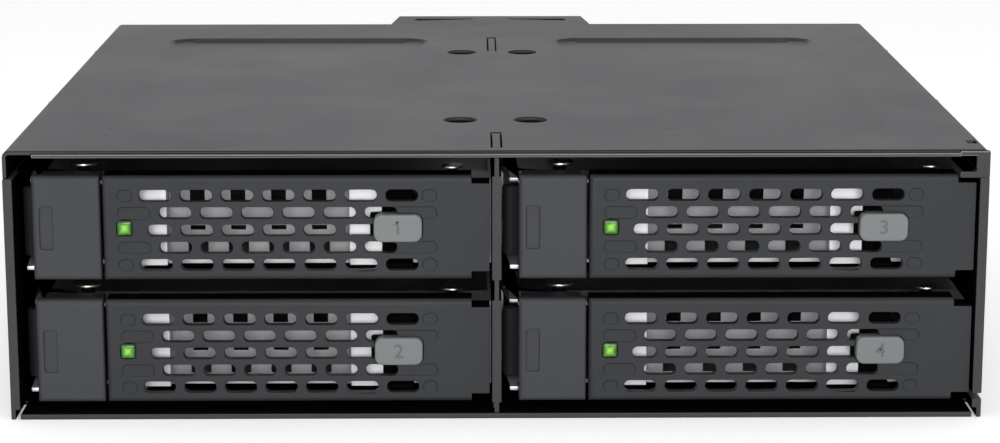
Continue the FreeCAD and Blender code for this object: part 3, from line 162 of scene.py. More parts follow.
# %% Helper that starts a node group
def new_group(name, inputs, outputs):
    """An empty shader node group with sockets; inputs is {name: (kind, value)}."""
    group = bpy.data.node_groups.new(name, "ShaderNodeTree")
    for label, (kind, value) in inputs.items():
        socket = group.interface.new_socket(name=label, in_out="INPUT", socket_type=kind)
        socket.default_value = value
    for label, kind in outputs.items():
        group.interface.new_socket(name=label, in_out="OUTPUT", socket_type=kind)
    start = group.nodes.new("NodeGroupInput")
    end = group.nodes.new("NodeGroupOutput")
    start.location, end.location = (-900, 0), (500, 0)
    return group, start, end


def add(tree, kind, place=(0, 0), **settings):
    """A node at a place in the tree, with its own settings."""
    node = tree.nodes.new(kind)
    node.location = place
    for key, value in settings.items():
        setattr(node, key, value)
    return node


print("node helpers ready")

# %% Fine grain group
def grain_group():
    group, start, end = new_group(
        "Fine grain",
        {"Grains per metre": ("NodeSocketFloat", 4000.0), "Patch per metre": ("NodeSocketFloat", 60.0)},
        {"Height": "NodeSocketFloat", "Patches": "NodeSocketFloat"})
    place = add(group, "ShaderNodeTexCoord", (-900, -200))
    grain = add(group, "ShaderNodeTexNoise", (-500, 100))
    grain.inputs["Detail"].default_value = 2.0
    patch = add(group, "ShaderNodeTexNoise", (-500, -200))
    patch.inputs["Detail"].default_value = 4.0
    for node, label in ((grain, "Grains per metre"), (patch, "Patch per metre")):
        group.links.new(place.outputs["Object"], node.inputs["Vector"])
        group.links.new(start.outputs[label], node.inputs["Scale"])
    group.links.new(grain.outputs["Fac"], end.inputs["Height"])
    group.links.new(patch.outputs["Fac"], end.inputs["Patches"])
    return group


grain = grain_group()
print("group:", grain.name)

# %% Drawn sheet group
def sheet_group():
    group, start, end = new_group(
        "Drawn sheet",
        {"Lines per metre": ("NodeSocketFloat", 9000.0), "Stretch": ("NodeSocketVector", (1.0, 0.03, 1.0))},
        {"Height": "NodeSocketFloat", "Spangle": "NodeSocketFloat"})
    place = add(group, "ShaderNodeTexCoord", (-900, -200))
    stretch = add(group, "ShaderNodeVectorMath", (-700, 100), operation="MULTIPLY")
    lines = add(group, "ShaderNodeTexNoise", (-400, 150))
    lines.inputs["Detail"].default_value = 3.0
    spangle = add(group, "ShaderNodeTexVoronoi", (-400, -200))
    spangle.inputs["Scale"].default_value = 260.0
    group.links.new(place.outputs["Object"], stretch.inputs[0])
    group.links.new(start.outputs["Stretch"], stretch.inputs[1])
    group.links.new(stretch.outputs["Vector"], lines.inputs["Vector"])
    group.links.new(start.outputs["Lines per metre"], lines.inputs["Scale"])
    group.links.new(place.outputs["Object"], spangle.inputs["Vector"])
    group.links.new(lines.outputs["Fac"], end.inputs["Height"])
    group.links.new(spangle.outputs["Color"], end.inputs["Spangle"])
    return group


drawn = sheet_group()
print("group:", drawn.name)

# %% Handling group
def handling_group():
    group, start, end = new_group(
        "Handling",
        {"Low": ("NodeSocketFloat", 0.4), "High": ("NodeSocketFloat", 0.6),
         "Smears per metre": ("NodeSocketFloat", 25.0)},
        {"Value": "NodeSocketFloat"})
    place = add(group, "ShaderNodeTexCoord", (-900, -200))
    smear = add(group, "ShaderNodeTexNoise", (-500, 0))
    smear.inputs["Detail"].default_value = 6.0
    smear.inputs["Roughness"].default_value = 0.62
    span = add(group, "ShaderNodeMapRange", (0, 0))
    span.inputs["From Min"].default_value = 0.3
    span.inputs["From Max"].default_value = 0.7
    group.links.new(place.outputs["Object"], smear.inputs["Vector"])
    group.links.new(start.outputs["Smears per metre"], smear.inputs["Scale"])
    group.links.new(smear.outputs["Fac"], span.inputs["Value"])
    group.links.new(start.outputs["Low"], span.inputs["To Min"])
    group.links.new(start.outputs["High"], span.inputs["To Max"])
    group.links.new(span.outputs["Result"], end.inputs["Value"])
    return group


handling = handling_group()
print("group:", handling.name)

# %% [markdown]
# ## Painted, moulded and plated finishes
# All of these are a Principled BSDF whose colour, roughness and normal come from the groups above. Paint
# and mouldings differ in grain size, gloss and colour, so one helper builds them with its own values.
# Plated steel is a metal, and its lines and spangles change the roughness more than the colour.

# %% Helper for painted and moulded finishes
def coated(name, dark, light, grains, bump, gloss, specular=0.5, patches=60.0):
    """A grained coat: two colours that drift in patches, a grain height and a gloss range."""
    finish = bpy.data.materials.new(name)
    finish.use_nodes = True
    tree = finish.node_tree
    shader = tree.nodes["Principled BSDF"]
    shader.inputs["Specular IOR Level"].default_value = specular
    pebble = add(tree, "ShaderNodeGroup", (-900, -200), node_tree=grain)
    pebble.inputs["Grains per metre"].default_value = grains
    pebble.inputs["Patch per metre"].default_value = patches
    smear = add(tree, "ShaderNodeGroup", (-900, -450), node_tree=handling)
    smear.inputs["Low"].default_value = gloss[0]
    smear.inputs["High"].default_value = gloss[1]
    colour = add(tree, "ShaderNodeMix", (-500, 200), data_type="RGBA")
    colour.inputs["A"].default_value = (*dark, 1)
    colour.inputs["B"].default_value = (*light, 1)
    relief = add(tree, "ShaderNodeBump", (-400, -300))
    relief.inputs["Strength"].default_value = 0.6
    relief.inputs["Distance"].default_value = bump * MM
    tree.links.new(pebble.outputs["Patches"], colour.inputs["Factor"])
    tree.links.new(colour.outputs["Result"], shader.inputs["Base Color"])
    tree.links.new(smear.outputs["Value"], shader.inputs["Roughness"])
    tree.links.new(pebble.outputs["Height"], relief.inputs["Height"])
    tree.links.new(relief.outputs["Normal"], shader.inputs["Normal"])
    return finish


print("coat helper ready")

# %% Painted and moulded finishes
paint = coated("powder_paint", (0.040, 0.0395, 0.0445), (0.049, 0.0485, 0.0535),
               2600, 0.010, (0.46, 0.56), 0.19)
# Painted shade for the lid's panel rims that face the front and for the tongue's slot walls.
painted_rim_shade = coated("painted_rim_shade", (0.014, 0.014, 0.016), (0.020, 0.020, 0.022),
                      2600, 0.010, (0.46, 0.56), 0.10)
# Nearly black painted shade, for faces that lie in the dark of the cage, the trays and the buttons.
painted_shade = coated("painted_shade", (0.003, 0.003, 0.003), (0.005, 0.005, 0.005),
                     2600, 0.010, (0.85, 0.95), 0.0)
# Painted highlight for the lid's rolled front lip and for the panel rims that face back.
painted_highlight = coated("painted_highlight", (0.150, 0.150, 0.156), (0.185, 0.185, 0.190),
                     2600, 0.008, (0.40, 0.50), 0.3)
bezel_plastic = coated("bezel_plastic", (0.043, 0.0445, 0.0490), (0.050, 0.0515, 0.0565),
                       5200, 0.008, (0.50, 0.60), 0.2)
door_plastic = coated("door_plastic", (0.0255, 0.0275, 0.0305), (0.0325, 0.0345, 0.0380),
                      5200, 0.008, (0.50, 0.60), 0.2)
button_plastic = coated("button_plastic", (0.158, 0.169, 0.170), (0.180, 0.191, 0.193),
                        6000, 0.006, (0.42, 0.52), 0.3)
digit_shade = coated("digit_shade", (0.11, 0.115, 0.115), (0.13, 0.135, 0.135),
                     6000, 0.004, (0.5, 0.6), 0.2)
black_plastic = coated("black_plastic", (0.010, 0.010, 0.011), (0.018, 0.018, 0.019),
                       4200, 0.008, (0.42, 0.55), 0.4)
white_plastic = coated("white_plastic", (0.66, 0.66, 0.62), (0.74, 0.74, 0.71),
                       3000, 0.004, (0.35, 0.45), 0.5)
hook_metal = coated("cast_hook", (0.011, 0.011, 0.012), (0.018, 0.018, 0.020),
                    3200, 0.012, (0.55, 0.70), 0.2)
print("coats:", [m.name for m in (paint, bezel_plastic, door_plastic, button_plastic, black_plastic)])

# %% Helper for plated and plain metals
def metal(name, colour, other, stretch, lines, bump, gloss, bare=1.0):
    """A metal with rolled lines and faint spangles; bare is below 1 under a milky plating."""
    finish = bpy.data.materials.new(name)
    finish.use_nodes = True
    tree = finish.node_tree
    shader = tree.nodes["Principled BSDF"]
    shader.inputs["Metallic"].default_value = bare
    rolled = add(tree, "ShaderNodeGroup", (-900, -200), node_tree=drawn)
    rolled.inputs["Lines per metre"].default_value = lines
    rolled.inputs["Stretch"].default_value = stretch
    smear = add(tree, "ShaderNodeGroup", (-900, -450), node_tree=handling)
    smear.inputs["Low"].default_value = gloss[0]
    smear.inputs["High"].default_value = gloss[1]
    smear.inputs["Smears per metre"].default_value = 60.0
    tint = add(tree, "ShaderNodeMix", (-500, 200), data_type="RGBA")
    tint.inputs["A"].default_value = (*colour, 1)
    tint.inputs["B"].default_value = (*other, 1)
    relief = add(tree, "ShaderNodeBump", (-400, -300))
    relief.inputs["Strength"].default_value = 0.5
    relief.inputs["Distance"].default_value = bump * MM
    tree.links.new(rolled.outputs["Spangle"], tint.inputs["Factor"])
    tree.links.new(tint.outputs["Result"], shader.inputs["Base Color"])
    tree.links.new(smear.outputs["Value"], shader.inputs["Roughness"])
    tree.links.new(rolled.outputs["Height"], relief.inputs["Height"])
    tree.links.new(relief.outputs["Normal"], shader.inputs["Normal"])
    return finish


print("metal helper ready")

# %% Metals
zinc = metal("zinc_plate", (0.72, 0.72, 0.735), (0.79, 0.79, 0.805),
             (1.0, 0.04, 1.0), 6000, 0.004, (0.46, 0.54))
# The baffle's zinc darkened as painted shade, greyer than the tray's plating.
painted_shade_zinc = metal("painted_shade_zinc", (0.30, 0.30, 0.31), (0.38, 0.38, 0.39),
                   (1.0, 1.0, 1.0), 4000, 0.004, (0.46, 0.58))
nickel = metal("nickel_steel", (0.66, 0.65, 0.63), (0.74, 0.73, 0.71),
               (1.0, 1.0, 1.0), 3000, 0.002, (0.22, 0.34))
print("metals:", [m.name for m in (zinc, painted_shade_zinc, nickel)])

# %% [markdown]
# ## Board, lamps and clear parts
# The backplane is a green lacquered board. Its copper shows through the lacquer as slightly paler lines,
# which a brick pattern with thin mortar gives well enough. The lamps on the board glow by themselves.
# The light guides are frosted plastic and don't glow: they use the same helper with no strength.

# %% Circuit board finish
def board_finish():
    finish = bpy.data.materials.new("board_lacquer")
    finish.use_nodes = True
    tree = finish.node_tree
    shader = tree.nodes["Principled BSDF"]
    shader.inputs["Coat Weight"].default_value = 0.5
    place = add(tree, "ShaderNodeTexCoord", (-1100, 0))
    turn = add(tree, "ShaderNodeMapping", (-900, 0))
    turn.inputs["Rotation"].default_value = (math.radians(90), 0, 0)
    tracks = add(tree, "ShaderNodeTexBrick", (-700, 0))
    tracks.inputs["Color1"].default_value = (0.006, 0.075, 0.030, 1)
    tracks.inputs["Color2"].default_value = (0.008, 0.095, 0.038, 1)
    tracks.inputs["Mortar"].default_value = (0.020, 0.170, 0.060, 1)
    tracks.inputs["Scale"].default_value = 300.0
    tracks.inputs["Mortar Size"].default_value = 0.03
    smear = add(tree, "ShaderNodeGroup", (-700, -350), node_tree=handling)
    smear.inputs["Low"].default_value = 0.25
    smear.inputs["High"].default_value = 0.4
    tree.links.new(place.outputs["Object"], turn.inputs["Vector"])
    tree.links.new(turn.outputs["Vector"], tracks.inputs["Vector"])
    tree.links.new(tracks.outputs["Color"], shader.inputs["Base Color"])
    tree.links.new(smear.outputs["Value"], shader.inputs["Roughness"])
    return finish


board_lacquer = board_finish()
print("finish:", board_lacquer.name)


# %% Glowing and clear finishes
def glowing(name, colour, deep, strength, sparkle=900.0):
    """A plastic mottled between two colours, which glows by a strength of its own."""
    finish = bpy.data.materials.new(name)
    finish.use_nodes = True
    tree = finish.node_tree
    shader = tree.nodes["Principled BSDF"]
    shader.inputs["Emission Strength"].default_value = strength
    shader.inputs["Roughness"].default_value = 0.25
    place = add(tree, "ShaderNodeTexCoord", (-1000, 0))
    cloud = add(tree, "ShaderNodeTexNoise", (-800, 0))
    cloud.inputs["Scale"].default_value = sparkle
    mix = add(tree, "ShaderNodeMix", (-500, 0), data_type="RGBA")
    mix.inputs["A"].default_value = (*deep, 1)
    mix.inputs["B"].default_value = (*colour, 1)
    tree.links.new(place.outputs["Object"], cloud.inputs["Vector"])
    tree.links.new(cloud.outputs["Fac"], mix.inputs["Factor"])
    tree.links.new(mix.outputs["Result"], shader.inputs["Base Color"])
    tree.links.new(mix.outputs["Result"], shader.inputs["Emission Color"])
    return finish


lamp_glow = glowing("lamp_glow", (0.45, 0.95, 0.2), (0.3, 0.8, 0.1), 1.2)
guide_clear = glowing("guide_clear", (0.50, 0.52, 0.51), (0.40, 0.42, 0.41), 0.0, 300.0)
print("finishes:", lamp_glow.name, guide_clear.name)

# %% [markdown]
# ## The cage, its lid and its fixed pieces
# These keep the solids' shape, with edges rounded as folded and cut sheet really is. Inside the real cage
# hardly any light comes back out, so the sheet's faces that look into it, and the lid's cut front edge, get
# a nearly black painted shade. The lid's panels are lifted to the depth of drawn sheet. Its rolled front
# lip and the panels' rims that face back get a painted highlight, and the rims that face front get painted
# shade. All of that goes by where a face lies and where it looks, so no face is picked by its number.

# %% Which faces of the sheet take painted shade
FRONT_EDGE = 0.4 * MM       # how deep the folded front edge keeps the outer paint
REAR_EDGE = 1.0 * MM        # the same at the rear
LIP_CUT = (0.7 * MM, 0.55 * MM)    # the lid's cut front edge: how deep and how far below the top
FLOOR_HIGH = 2 * MM         # the cage's floor lies below this
ROOF_DEEP = 6 * MM          # undersides this near the cage's top belong to the roof
DIVIDER_HALF = 2.3 * MM     # half the width that the divider's web takes up
WEB_TOP = 0.6 * MM          # the web ends this far below the lid's top


def faces_inward(face):
    """True where the sheet takes painted shade: a face that looks into the cage behind its front edge, or
    the lid's cut front edge.
    """
    middle = (cage_low + cage_high) / 2
    if face.center.y < cage_low.y + FRONT_EDGE or face.center.y > cage_high.y - REAR_EDGE:
        return False
    near_front = face.center.y < cage_low.y + LIP_CUT[0] and face.center.z > LID - LIP_CUT[1]
    cut_edge = near_front and face.normal.y < -0.7
    upright = abs(face.normal.z) < 0.25
    side = upright and face.normal.x * (middle.x - face.center.x) > 0.3 * (cage_high.x - middle.x)
    floor_top = face.normal.z > 0.3 and face.center.z < FLOOR_HIGH
    roof_under = face.normal.z < -0.3 and face.center.z > cage_high.z - ROOF_DEEP
    web = abs(face.center.x - middle.x) < DIVIDER_HALF and face.center.z < LID - WEB_TOP
    return cut_edge or side or floor_top or roof_under or web


print("the lid's top is", round(LID / MM, 2), "mm high")

# %% The lid's panels and the divider's tabs
TAB_HALF, SLOT_FILL = 0.35, 0.62    # half a tab's thickness, and what nearly fills the slot, in mm
TAB_HIGH = 0.3 * MM                 # the tabs' ends lie this near the lid's top
PANEL_EDGE = 10 * MM                # the lid's panels lie this far inside the cage's front and back
PANEL_DEEP, PANEL_LIFT, PANEL_RIM = 1.0 * MM, 0.3 * MM, 0.95 * MM
TOUCH = 0.02 * MM                   # how near counts as the same height
TONGUE_HALF = 16 * MM               # the tongue's two slots lie within this of the middle
TONGUE_END = 2 * MM                 # and end this far before its rear edge


def widen_tabs(piece):
    """Hems the divider's tabs, so that they nearly fill their slots in the lid."""
    for vertex in piece.data.vertices:
        if vertex.co.z > LID - TAB_HIGH:
            vertex.co.x *= SLOT_FILL / TAB_HALF


def shallow_panels(piece):
    """Lifts the floors of the lid's two pressed panels, so that they are as shallow as drawn sheet."""
    for vertex in piece.data.vertices:
        inside = cage_low.y + PANEL_EDGE < vertex.co.y < cage_high.y - PANEL_EDGE
        if inside and abs(vertex.co.z - (LID - PANEL_DEEP)) < TOUCH:
            vertex.co.z += PANEL_LIFT


def lid_mark(face):
    """2 for painted highlight on a pressed rim that faces back, 3 for painted shade on one that faces front
    or on the tongue's slot walls, else 0.
    """
    inside = cage_low.y + PANEL_EDGE < face.center.y < cage_high.y - PANEL_EDGE
    if face.center.z > LID - PANEL_RIM and inside and 0.2 < face.normal.z < 0.97:
        if face.normal.y < -0.25:
            return 3
        if face.normal.y > 0.25:
            return 2
    behind = cage_high.y < face.center.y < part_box("top_cover")[1].y - TONGUE_END
    return 3 if behind and abs(face.normal.z) < 0.3 and abs(face.center.x) < TONGUE_HALF else 0


print("panels are", round((PANEL_DEEP - PANEL_LIFT) / MM, 2), "mm deep after the lift")

# %% Dress the fixed pieces
ROLLED = (0.3 * MM, 1.05 * MM)      # the lid's rolled front lip: how deep and how far below the top


def dress(node, width, finish, angle=32):
    """A softened copy of a part in a finish, standing for the part."""
    piece = merged_copy(node, "dressed_" + node)
    if node == "centre_divider":
        widen_tabs(piece)
    if node == "top_cover":
        shallow_panels(piece)
    soften(piece, width, angle=angle)
    stand_for(piece, node, finish)
    # Painted shade on faces in the dark and on the lid's cut front edge, painted highlight on the rolled
    # lip.
    if finish is paint and node != "rear_panel":
        for other in (painted_shade, painted_highlight, painted_rim_shade):
            piece.data.materials.append(other)
        for face in piece.data.polygons:
            rolled = face.center.y < cage_low.y + ROLLED[0] and face.center.z > LID - ROLLED[1]
            mark = lid_mark(face) if node == "top_cover" else 0
            bright = rolled and face.normal.z > -0.5
            face.material_index = 2 if bright else mark or int(faces_inward(face))
    return piece


# The middle shelves lie in the dark, and are painted shade all over.
FIXED = {"chassis": (0.14, paint), "top_cover": (0.14, paint), "centre_divider": (0.12, paint),
         "middle_shelves": (0.12, painted_shade), "rear_panel": (0.12, paint),
         "guide_rails": (0.2, black_plastic),
         "drive_sockets": (0.12, black_plastic), "data_connectors": (0.12, black_plastic),
         "power_connectors": (0.12, black_plastic), "fan_frame": (0.2, black_plastic),
         "fan_rotor": (0.12, black_plastic), "fan_guard": (0.1, zinc), "fan_screws": (0.15, nickel),
         "fan_switch": (0.12, black_plastic), "fan_switch_knob": (0.2, white_plastic),
         "cover_screws": (0.08, nickel), "rear_screws": (0.08, nickel), "status_leds": (0.1, lamp_glow),
         "backplane_board": (0.1, board_lacquer)}
for node, (width, finish) in FIXED.items():
    piece = dress(node, width, finish)
    print(node, len(piece.data.polygons), "faces")

# %% [markdown]
# ## The trays and everything that rides on them
# The real tray is bent from plated sheet, with its perforated baffle welded on, and carries moulded
# pieces. Bay 1's pieces are dressed once. The other bays get copies, each with a mesh of its own that is
# moved by the bay's offset, because a finished piece's object stays at the origin. Some pieces show more
# than one finish: the baffle's face is zinc darkened as painted shade, and what lies in the dark gets a
# nearly black painted shade.

# %% The pieces of one bay
# The button spring takes the hook's dark steel, which also serves as painted shade in the dark of the
# opening.
BAY_PIECES = {"tray": (0.07, zinc), "bezel": (0.16, bezel_plastic), "door": (0.12, door_plastic),
              "pivot_pins": (0.1, nickel), "latch": (0.15, black_plastic),
              "ejector_hook": (0.25, hook_metal),
              "light_pipe": (0.1, guide_clear), "button_spring": (0.04, hook_metal)}


def copy_to_bay(piece, bay, name):
    """The same piece moved into another bay, with its own mesh."""
    other = bpy.data.objects.new(name, piece.data.copy())
    bpy.context.scene.collection.objects.link(other)
    other.data.transform(Matrix.Translation(bay_offset[bay]))
    return other


print("bay kinds:", list(BAY_PIECES))

# %% Where a point lies on a bay's piece, and which finish it shows there
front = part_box("bezel_1")[0].y - 1.0 * MM    # depths are counted from here
# All of these are in mm: across from the piece's left, deep from the front, rise from its lowest point.
BAFFLE_DEEP, BAFFLE_RISE = (8.8, 9.7), (0.7, 12.1)
# The tray's front corners and lug, the door's faces behind its back, the pins' posts and the latch's pin
# take painted shade.
DARK_CORNER = (2.9, 18)                      # the tray's front corners: across and deep
LUG_ACROSS, LUG_DEEP = (14, 19), 4.6
DOOR_BACK, DOOR_FLANGE = 2.6, 2.3            # behind these the door is inner faces
HEAD_HIGH = 0.45 * MM                        # only the pins' heads are bright
LATCH_PIN = (8.5, 10.9)                      # the latch's pin lies in the dark


def spot(point, low):
    """A point's place on a piece: across, deep and rise, in mm."""
    return (point.x - low.x) / MM, (point.y - front) / MM, (point.z - low.z) / MM


def within(value, span):
    """True between the two ends of a span."""
    return span[0] < value < span[1]


def finish_mark(kind, face, low, high):
    """Which of a bay piece's finishes a face shows: 0 is its main one, and the others are painted shade."""
    across, deep, rise = spot(face.center, low)
    if kind == "tray":
        if within(deep, BAFFLE_DEEP) and within(rise, BAFFLE_RISE):
            return 1
        corner = across < DARK_CORNER[0] and deep < DARK_CORNER[1] and face.normal.y > -0.8
        return 2 if corner or deep < LUG_DEEP and within(across, LUG_ACROSS) else 0
    if kind == "door":
        flange = abs(face.normal.z)
        return int(deep > DOOR_BACK and flange < 0.9 or deep > DOOR_FLANGE and flange > 0.9)
    if kind == "pivot_pins":
        return int(face.center.z < high.z - HEAD_HIGH or within(across, LATCH_PIN))
    return 0


print("depths count from", round(front / MM, 2), "mm")

# %% Small changes of shape
STRIP_DEEP, STRIP_RISE, STRIP_FROM, STRIP_DROP = (5.4, 6.2), (0.5, 0.7), 17, 0.5
CORNER_WIDE, CORNER_DEEP, CORNER_RISE = 2.6, (8.9, 9.05), 0.7
CORNER_AHEAD, CORNER_EDGE, CORNER_TAPER = 3.2, 0.1, 1.2
SLOT_END, SLOT_ROWS = (44.7, 46.1), ((3.9, 5.74), (10.06, 11.2))
SLOT_DEEP, SLOT_SHORTER = 2.7, 2.25


def shape_tray(piece, low):
    """Brings the floor's left corner forward, tapers both corners and turns the strips' lower ends down."""
    for vertex in piece.data.vertices:
        across, deep, rise = spot(vertex.co, low)
        if within(deep, STRIP_DEEP) and within(rise, STRIP_RISE) and across > STRIP_FROM:
            vertex.co.z -= STRIP_DROP * MM
        if across < CORNER_WIDE and within(deep, CORNER_DEEP):
            if rise < CORNER_RISE:
                vertex.co.y = front + CORNER_AHEAD * MM
            if across < CORNER_EDGE:
                vertex.co.x += CORNER_TAPER * MM


def shape_door(piece, low):
    """Ends the two slots above and below the button where their row's others would end."""
    for vertex in piece.data.vertices:
        across, deep, rise = spot(vertex.co, low)
        in_rows = any(within(rise, row) for row in SLOT_ROWS)
        if deep < SLOT_DEEP and within(across, SLOT_END) and in_rows:
            vertex.co.x -= SLOT_SHORTER * MM


SHAPED = {"tray": shape_tray, "door": shape_door}
print("reshaped kinds:", list(SHAPED))

# %% Dress bay 1 and copy it to the other bays
# The further finishes of a bay's pieces are painted shade.
OTHERS = {"tray": (painted_shade_zinc, painted_shade), "door": (painted_shade,), "pivot_pins": (painted_shade,)}
for kind, (width, finish) in BAY_PIECES.items():
    first = merged_copy(f"{kind}_1", f"dressed_{kind}_1")
    low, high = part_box(f"{kind}_1")
    if kind in SHAPED:
        SHAPED[kind](first, low)
    soften(first, width)
    marks = [finish_mark(kind, face, low, high) for face in first.data.polygons]
    for bay in BAYS:
        piece = first if bay == 1 else copy_to_bay(first, bay, f"dressed_{kind}_{bay}")
        stand_for(piece, f"{kind}_{bay}", finish)
        for other in OTHERS.get(kind, ()):
            piece.data.materials.append(other)
        piece.data.polygons.foreach_set("material_index", marks)
    elsewhere = len(marks) - marks.count(0)
    print(kind, len(first.data.polygons), "faces,", elsewhere, "of them in another finish")

# %% [markdown]
# ## The push buttons
# The real button is a pale moulding with rounded corners and the bay's digit printed on its face. The
# cap is a copy of the solid with a wider rounding than the other pieces. The lip and the stem behind
# the bezel's face lie in the dark of the opening, so they take the nearly black painted shade.

# %% Dress the buttons
BUTTON_ROUND = 0.3              # mm
LIP_DEEP = 1.2 * MM             # behind the bezel's face by this, the button lies in the dark
first_button = soften(merged_copy("button_1", "dressed_button_1"), BUTTON_ROUND, segments=3)
dark_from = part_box("bezel_1")[0].y + LIP_DEEP
# Faces behind the bezel's face take painted shade.
lip_marks = [int(face.center.y > dark_from) for face in first_button.data.polygons]
for bay in BAYS:
    piece = first_button if bay == 1 else copy_to_bay(first_button, bay, f"dressed_button_{bay}")
    stand_for(piece, f"button_{bay}", button_plastic)
    piece.data.materials.append(painted_shade)
    piece.data.polygons.foreach_set("material_index", lip_marks)
print("button faces:", len(first_button.data.polygons))

# %% Print the digits
DIGIT_SIZE, DIGIT_BOLD, DIGIT_THICK = 3.0 * MM, 0.05 * MM, 0.02 * MM
DIGIT_SINK = 0.005 * MM                                  # into the button's face
FLAG_LONG, FLAG_WIDE, FLAG_TILT = 0.8 * MM, 0.24 * MM, math.radians(38)
FLAG_LEFT, FLAG_DOWN = 0.3 * MM, 0.4 * MM                # from the 1's middle and its top


def add_flag(mark):
    """Gives the plain bar of the 1 the short slanted flag of a printed one."""
    top = max(vertex.co.y for vertex in mark.data.vertices)
    bpy.ops.mesh.primitive_cube_add(size=1, location=(-FLAG_LEFT, top - FLAG_DOWN, 0),
                                    scale=(FLAG_LONG, FLAG_WIDE, 2 * DIGIT_THICK))
    flag = bpy.context.object
    bpy.ops.object.transform_apply(location=False, rotation=False, scale=True)
    flag.data.transform(Matrix.Rotation(FLAG_TILT, 4, "Z"))
    flag.data.transform(Matrix.Translation(flag.location))
    flag.location = (0, 0, 0)
    pick(mark, flag)
    bpy.ops.object.join()


def digit(bay):
    """The bay's number as a thin dark print on the button's face."""
    low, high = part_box(f"button_{bay}")
    bpy.ops.object.select_all(action="DESELECT")
    bpy.ops.object.text_add()
    mark = bpy.context.object
    mark.data.body = str(bay)
    mark.data.size = DIGIT_SIZE
    mark.data.offset = DIGIT_BOLD
    mark.data.align_x = "CENTER"
    mark.data.align_y = "CENTER"
    mark.data.extrude = DIGIT_THICK
    pick(mark)
    bpy.ops.object.convert(target="MESH")
    mark = bpy.context.object
    if bay == 1:
        add_flag(mark)
    mark.name = f"digit_{bay}"
    middle = (low + high) / 2
    turn = Matrix.Rotation(math.radians(90), 4, "X")
    mark.data.transform(Matrix.Translation((middle.x, low.y + DIGIT_SINK, middle.z)) @ turn)
    mark.data.materials.append(digit_shade)
    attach(mark, f"button_body_{bay}")
    return mark


print("digits:", [digit(bay).name for bay in BAYS])

# %% [markdown]
# ## The green lenses
# Each lens is a small square window with soft corners, bright in its middle where the light guide ends
# and dark green at its rim. A cube's edges are rounded, and its front is inset four times and drawn out
# to a shallow dome. How near a point lies to the middle is kept as a colour attribute, and the finish
# fades the glow by it, so the glow belongs to the surface and not to a second piece.

# %% Finish that fades with the attribute
def lens_finish():
    """A green plastic that is dark at the rim and glows in the middle."""
    finish = bpy.data.materials.new("green_lens")
    finish.use_nodes = True
    tree = finish.node_tree
    shader = tree.nodes["Principled BSDF"]
    shader.inputs["Roughness"].default_value = 0.22
    shader.inputs["Emission Strength"].default_value = 0.5
    reach = add(tree, "ShaderNodeAttribute", (-1100, 100), attribute_name="glow")
    place = add(tree, "ShaderNodeTexCoord", (-1300, -200))
    cloud = add(tree, "ShaderNodeTexNoise", (-1100, -200))
    cloud.inputs["Scale"].default_value = 1500.0
    uneven = add(tree, "ShaderNodeMath", (-900, 0), operation="MULTIPLY_ADD")
    uneven.inputs[1].default_value = 0.35
    ramp = add(tree, "ShaderNodeValToRGB", (-700, 0))
    ramp.color_ramp.elements[0].position = 0.34
    ramp.color_ramp.elements[0].color = (0.006, 0.026, 0.003, 1)
    ramp.color_ramp.elements[1].position = 1.0
    ramp.color_ramp.elements[1].color = (0.190, 0.470, 0.052, 1)
    middle = ramp.color_ramp.elements.new(0.66)
    middle.color = (0.060, 0.185, 0.018, 1)
    tree.links.new(place.outputs["Object"], cloud.inputs["Vector"])
    tree.links.new(cloud.outputs["Fac"], uneven.inputs[0])
    tree.links.new(reach.outputs["Fac"], uneven.inputs[2])
    tree.links.new(uneven.outputs["Value"], ramp.inputs["Fac"])
    tree.links.new(ramp.outputs["Color"], shader.inputs["Base Color"])
    tree.links.new(ramp.outputs["Color"], shader.inputs["Emission Color"])
    return finish


green_lens = lens_finish()
print("finish:", green_lens.name)

# %% Model a lens from a cube
def front_face(piece):
    """Selects the face that looks to the front and lies furthest forward."""
    bpy.ops.object.mode_set(mode="OBJECT")
    facing = [face for face in piece.data.polygons if face.normal.y < -0.99]
    first = min(facing, key=lambda face: face.center.y)
    for edge in piece.data.edges:
        edge.select = False
    for vertex in piece.data.vertices:
        vertex.select = False
    for face in piece.data.polygons:
        face.select = face.index == first.index
    bpy.ops.object.mode_set(mode="EDIT")


LENS_ROUND = 0.45 * MM
RINGS = (0.04, 0.03, 0.02, 0.01)    # mm that each ring of the dome stands out from the one around it
RING_WIDE = 0.16 * MM
GLOW_DEEP = 0.6 * MM                # behind this the lens is dark


def lens():
    """The lens of bay 1, from a cube."""
    low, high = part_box("led_lens_1")
    middle, size = (low + high) / 2, high - low
    bpy.ops.object.select_all(action="DESELECT")
    bpy.ops.mesh.primitive_cube_add(size=1, location=middle, scale=size)
    piece = bpy.context.object
    piece.name = "dressed_led_lens_1"
    bpy.ops.object.transform_apply(location=True, rotation=False, scale=True)
    corners = piece.modifiers.new("corners", "BEVEL")
    corners.width = LENS_ROUND
    corners.segments = 4
    corners.limit_method = "ANGLE"
    bpy.ops.object.modifier_apply(modifier=corners.name)
    front_face(piece)
    for depth in RINGS:
        bpy.ops.mesh.inset(thickness=RING_WIDE)
        bpy.ops.transform.translate(value=(0, -depth * MM, 0))
    bpy.ops.object.mode_set(mode="OBJECT")
    for vertex in piece.data.vertices:
        vertex.co.y = max(vertex.co.y, low.y)
    bpy.ops.object.shade_smooth_by_angle(angle=math.radians(50))
    glow = piece.data.color_attributes.new("glow", "FLOAT_COLOR", "POINT")
    for vertex, shade in zip(piece.data.vertices, glow.data):
        away = max(abs(vertex.co.x - middle.x) / size.x, abs(vertex.co.z - middle.z) / size.z) * 2
        near = 1.0 - min(1.0, away) if vertex.co.y < low.y + GLOW_DEEP else 0.0
        shade.color = (near, near, near, 1.0)
    return piece


